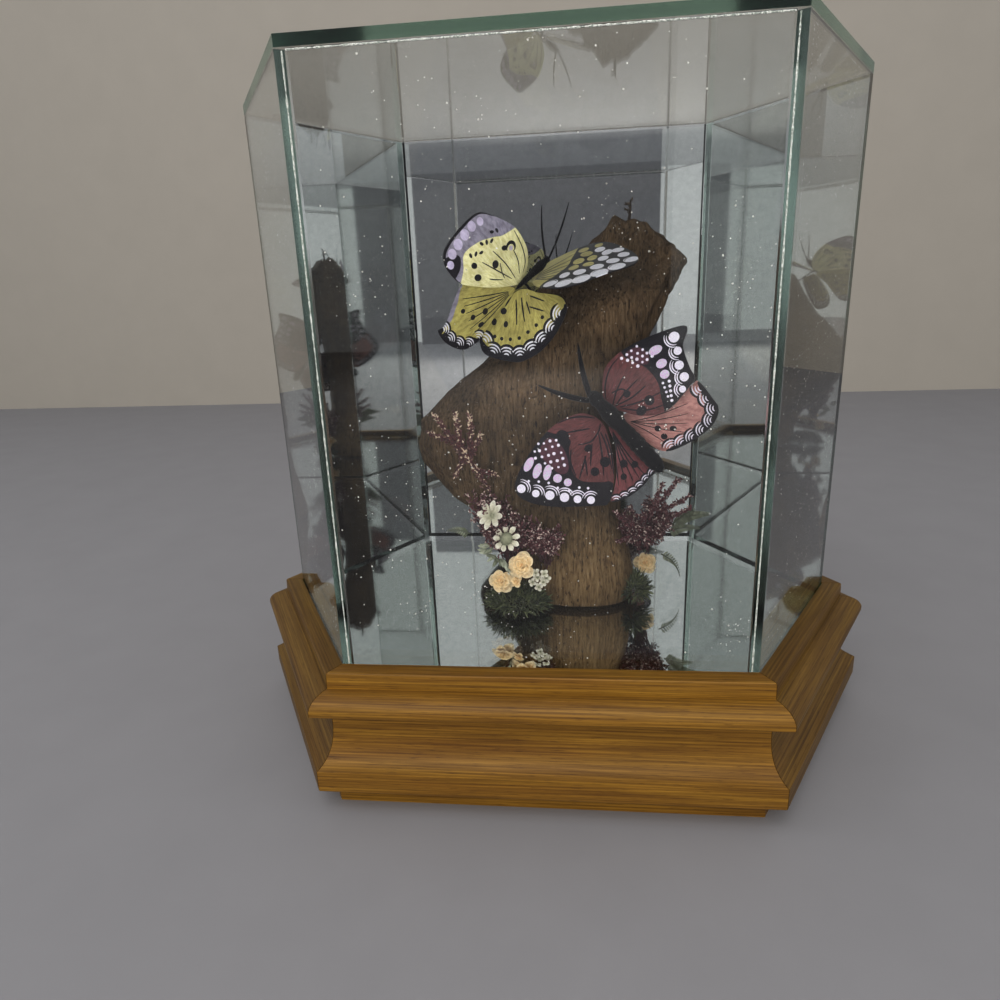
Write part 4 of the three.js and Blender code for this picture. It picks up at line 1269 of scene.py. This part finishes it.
def branch(foot, tip, thick, bow, pale):
    """A stem with budded twigs that shorten and turn paler towards its tip."""
    foot, tip = Vector(foot), Vector(tip)
    way = (tip - foot).normalized()
    parts = [stem(arc(foot, tip, bow, 6), thick, 0.1)]
    twigs = int((tip - foot).length * 1.8)
    for k in range(twigs):
        share = k / twigs
        lean = Vector((dice.uniform(-0.8, 0.8), -0.15, dice.uniform(-0.4, 0.4))) * (1.1 - 0.8 * share)
        reach = dice.uniform(2, 3.2) * (1.1 - 0.5 * share)
        parts += twig(foot.lerp(tip, share), way + lean, reach, 5, 0.3, 0.04 + pale * share * share)
    return parts


heather = papery("dried heather", colour(66, 25, 30), colour(112, 58, 64), colour(236, 212, 202))
red_heather = papery("red gold sprig", colour(58, 22, 24), colour(98, 46, 46), colour(226, 204, 178))
left_parts = spray((-14, -16.5, 62), (-21, -17.5, 79), (9.8, 4, 11.5), 30, 9, 8)
left_parts += spray((-12, -17, 66), (-12, -17.5, 74), (8, 3, 9), 12, 8, 7)
bunch("spray left", left_parts, heather)
centre_parts = spray((-2, -16.5, 62), (-1.5, -17.5, 72), (8.5, 3, 7.5), 24, 9, 8)
bunch("spray centre", centre_parts, heather)
right_parts = spray((35, 4, 60), (34.5, -4, 71.5), (13, 7.5, 12.5), 54, 10, 8)
for foot, tip in (
    ((36, -5, 76), (46, -6, 89.5)), ((38, -5, 76), (50, -6, 83)), ((36, -6, 74), (40.5, -7, 88)),
    ((38, -4, 72), (50.5, -5, 78.5)), ((31, -9, 72), (24, -11.5, 79)), ((31, -9, 70), (25, -11.5, 68)),
):
    right_parts += branch(foot, tip, 0.3, (0.5, 0, 0.4), 0.1)
bunch("spray right", right_parts, heather)

sprig_branches = [
    ((-20.5, 89), (-29, 103.5)), ((-30, 103), (-38.7, 116.5)), ((-29.6, 102), (-31.6, 116.5)),
    ((-27, 101), (-26.5, 116.2)), ((-33.5, 107), (-40.6, 110.5)), ((-29, 103), (-32.6, 95.6)),
    ((-25, 97), (-18.6, 95.5)), ((-28, 101), (-23.4, 109)),
]
sprig_parts = []
for (foot_x, foot_z), (tip_x, tip_z) in sprig_branches:
    foot, tip = (foot_x, SPRIG_DEPTH, foot_z), (tip_x, SPRIG_DEPTH - 0.5, tip_z)
    sprig_parts += branch(foot, tip, 0.36, (0.6, -0.3, 0), 0.5)
bunch("sprig on wood", sprig_parts, red_heather)

knot_parts = [stem(arc((28, 6.7, 177.6), (28.6, 6.2, 185), (0.3, 0, 0), 5), 0.7, 0.1)]
for k in range(6):
    way = jitter(1.0) + Vector((0, -0.3, 0.5))
    knot_parts += twig((28 + 0.1 * k, 6.6, 180.4 + 0.7 * k), way, 1.6, 4)
dry_twig = papery("dry twig", colour(52, 44, 38), colour(80, 68, 56), colour(118, 104, 88))
bunch("sprig on top", knot_parts, dry_twig)


# Fern fronds
# Flattened grey-green fern tips at the sides of the flowers, pushed in behind them, with small leaves of
# the same plant below the daisies. They are dried and pressed.
def leaf(at, way, facing, length, width, tint):
    """A pointed leaf folded along its middle rib."""
    way = Vector(way).normalized()
    side = way.cross(Vector(facing)).normalized()
    up = side.cross(way)
    points, faces = [], []
    rows = 5
    for i in range(rows + 1):
        along = i / rows
        half = width / 2 * math.sin(math.pi * (0.06 + 0.92 * along)) ** 0.8
        spine = Vector(at) + way * length * along - up * 0.12 * length * along * along
        fold = up * 0.25 * half
        points += [spine + side * half + fold, spine, spine - side * half + fold]
        if i:
            low = 3 * (i - 1)
            faces += [(low, low + 1, low + 4, low + 3), (low + 1, low + 2, low + 5, low + 4)]
    return points, faces, [tint + 0.3 * (i % 3 == 1) for i in range(len(points))]


def fern(start, end, sag, leaflets, length):
    line = arc(start, end, sag, leaflets)
    parts = [stem(line, 0.3, 0.2)]
    ahead = (Vector(end) - Vector(start)).normalized()
    for i, at in enumerate(line[1:], 1):
        size = length * (1 - 0.75 * i / leaflets)
        for hand in (-1, 1):
            way = ahead * 0.7 + Vector((0, -0.15, hand))
            parts.append(leaf(at, way, (0, -1, 0.1), size, size * 0.34, dice.uniform(0.1, 0.5)))
    return parts


green = papery("dried fern", colour(62, 70, 52), colour(116, 122, 100), colour(184, 188, 166))
left_frond = fern((-29, -15, 72.2), (-37, -15.4, 73.6), (0, 0, 0.8), 10, 2.6)
for i in range(18):
    way = (-0.9 + 0.08 * i, -0.35, 0.5 - 0.06 * i + dice.uniform(-0.4, 0.4))
    at = (-22.5 + 0.45 * i, -18.5, 69 - 0.5 * i + dice.uniform(-1.5, 1.5))
    left_frond.append(leaf(at, way, (0, -1, 0.3), dice.uniform(3, 5), 1.5, dice.uniform(0.3, 0.9)))
bunch("frond left", left_frond, green)
right_frond = fern((46, -0.5, 72.4), (58.4, 0, 74.6), (0, 0, 0.6), 20, 3.6)
right_frond += fern((44, -1, 68), (55, -1, 69.5), (0, 0, 0.8), 16, 3)
right_frond += fern((45, -2, 71), (53, -2, 77), (0, 0, 0.6), 14, 2.6)
bunch("frond right", right_frond, green)
bunch("frond low", fern((42, 3, 57.5), (49.2, 2, 49), (1.2, 0, 1), 12, 2.6), green)


# Moss
# Two tufts of dark green dried moss, glued at the foot of the stump to hide the stems of the flowers.
# The blades that would pass through the mirror floor lie flat on it.
def moss(middle, reach, blades):
    parts = []
    for _ in range(blades):
        turn = dice.uniform(0, 2 * math.pi)
        rise = math.asin(dice.uniform(0.02, 1))
        out = Vector((math.cos(turn) * math.cos(rise), math.sin(turn) * math.cos(rise), math.sin(rise)))
        skin = Vector((out.x * reach[0], out.y * reach[1], out.z * reach[2]))
        root = Vector(middle) + skin * dice.uniform(0.55, 0.86)
        way = (out + jitter(0.9) + Vector((0, 0, 0.1))).normalized()
        length = dice.uniform(1.8, 5.2)
        facing = jitter(1.0) + Vector((0, -0.5, 0.5))
        points, faces, tints = leaf(root, way, facing, length, 0.5, dice.uniform(0, 1))
        parts.append(([Vector((p.x, p.y, max(p.z, WOOD_FOOT))) for p in points], faces, tints))
    return parts


moss_green = papery("moss", colour(38, 46, 27), colour(72, 80, 52), colour(114, 121, 84))
bunch("moss left", moss((-12, -14, 44.2), (13, 9.5, 5.2), 1500), moss_green)
bunch("moss right", moss((30.8, -5.5, 45.5), (5.4, 8.5, 7), 800), moss_green)


# Stage
# A pale table top, a plain wall and soft light from above, from the left and from low in front.
# A grey cloth and a screen that only the glass and mirrors see keep glare off the front panel, and two
# hidden panels of light inside the case light its contents.
CENTRE = (0, 0, 0.11)
FILL_CENTRE = (0, 0, 0.13)
FILL_DEPTH = 0.0622
FILL_SIZE = (0.112, 0.16)
CAMERA_PLACE = (0.01073, -0.25968, 0.16008)
CAMERA_YAW = math.radians(-6.603)
CAMERA_PITCH = math.radians(17.005)
CAMERA_ROLL = math.radians(-2.226)


def plain_matt(name, shade, contrast):
    material, tree = blank_material(name)
    darker = tuple(c * contrast for c in shade[:3]) + (1,)
    tone = ramp(tree, cloudy(tree, own_place(tree), 30, 3), [(0.3, darker), (0.7, shade)])
    return finished(material, tone, roughness=0.8)


def stage_plane(name, corners, material):
    mesh = bpy.data.meshes.new(name)
    mesh.from_pydata(corners, [], [(0, 1, 2, 3)])
    mesh.materials.append(material)
    made = bpy.data.objects.new(name, mesh)
    bpy.context.collection.objects.link(made)
    return made


def hidden_from(made, *rays):
    for ray in rays:
        setattr(made, f"visible_{ray}", False)


table = plain_matt("table", colour(150, 149, 153), 0.96)
stage_plane("table top", [(-3, -1.7, 0), (3, -1.7, 0), (3, 0.75, 0), (-3, 0.75, 0)], table)
wall = plain_matt("wall paint", colour(184, 178, 169), 0.97)
stage_plane("wall", [(-3, 0.75, 0), (3, 0.75, 0), (3, 0.75, 0.9), (-3, 0.75, 0.9)], wall)
grey_cloth = plain_matt("grey cloth", colour(146, 146, 152), 0.9)
cloth = [(-0.44, -1.7, 0.001), (0.24, -1.7, 0.001), (0.08, -0.46, 0.001), (-0.13, -0.46, 0.001)]
screen = [(0.22, -1.6, 0), (-0.42, -1.6, 0), (-0.42, -1.6, 0.7), (0.22, -1.6, 0.7)]
for name, corners in (("cloth on the table", cloth), ("screen behind the camera", screen)):
    hidden_from(stage_plane(name, corners, grey_cloth), "camera", "diffuse", "shadow")


def soft_light(name, spot, aim, sizes, power, shade=(1, 1, 1)):
    lamp = bpy.data.lights.new(name, "AREA")
    lamp.shape = "RECTANGLE"
    lamp.size, lamp.size_y = sizes
    lamp.energy = power
    lamp.color = shade
    made = bpy.data.objects.new(name, lamp)
    made.location = spot
    made.rotation_euler = (Vector(aim) - Vector(spot)).to_track_quat("-Z", "Y").to_euler()
    bpy.context.collection.objects.link(made)
    return made


soft_light("above", (-0.2, -1.0, 1.42), CENTRE, (0.9, 0.9), 6, (1, 0.98, 0.95))
low_light = soft_light("front", (0.05, -1.15, 0.42), CENTRE, (0.5, 0.5), 5.2, (1, 0.95, 0.86))
hidden_from(low_light, "glossy", "transmission")
soft_light("left", (-1.1, -0.35, 1.25), CENTRE, (0.6, 0.6), 0.9, (0.97, 0.98, 1))
for name, depth, power in (("front fill", -FILL_DEPTH, 0.058), ("back fill", FILL_DEPTH, 0.024)):
    fill = soft_light(name, (0, depth, FILL_CENTRE[2]), FILL_CENTRE, FILL_SIZE, power)
    hidden_from(fill, "camera", "glossy", "transmission")

sky = bpy.data.worlds.new("room")
bpy.context.scene.world = sky
sky.use_nodes = True
sky.node_tree.nodes["Background"].inputs["Color"].default_value = (0.86, 0.87, 0.88, 1)
sky.node_tree.nodes["Background"].inputs["Strength"].default_value = 0.54

lens = bpy.data.cameras.new("camera")
lens.sensor_width = 36
lens.lens = 25.705
lens.clip_start = 0.01
camera = bpy.data.objects.new("camera", lens)
level_ahead = Vector((math.sin(CAMERA_YAW), math.cos(CAMERA_YAW), 0))
ahead = level_ahead * math.cos(CAMERA_PITCH) - Vector((0, 0, math.sin(CAMERA_PITCH)))
level_right = Vector((math.cos(CAMERA_YAW), -math.sin(CAMERA_YAW), 0))
level_up = level_right.cross(ahead)
right = level_right * math.cos(CAMERA_ROLL) + level_up * math.sin(CAMERA_ROLL)
upright = level_up * math.cos(CAMERA_ROLL) - level_right * math.sin(CAMERA_ROLL)
turn = Matrix((right, upright, -ahead)).transposed()
camera.matrix_world = Matrix.Translation(CAMERA_PLACE) @ turn.to_4x4()
bpy.context.collection.objects.link(camera)
scene = bpy.context.scene
scene.camera = camera
scene.cycles.max_bounces = 28
scene.cycles.glossy_bounces = 18
scene.cycles.transmission_bounces = 28
scene.view_settings.view_transform = "Standard"
scene.view_settings.gamma = 0.87
scene.view_settings.exposure = 0.35
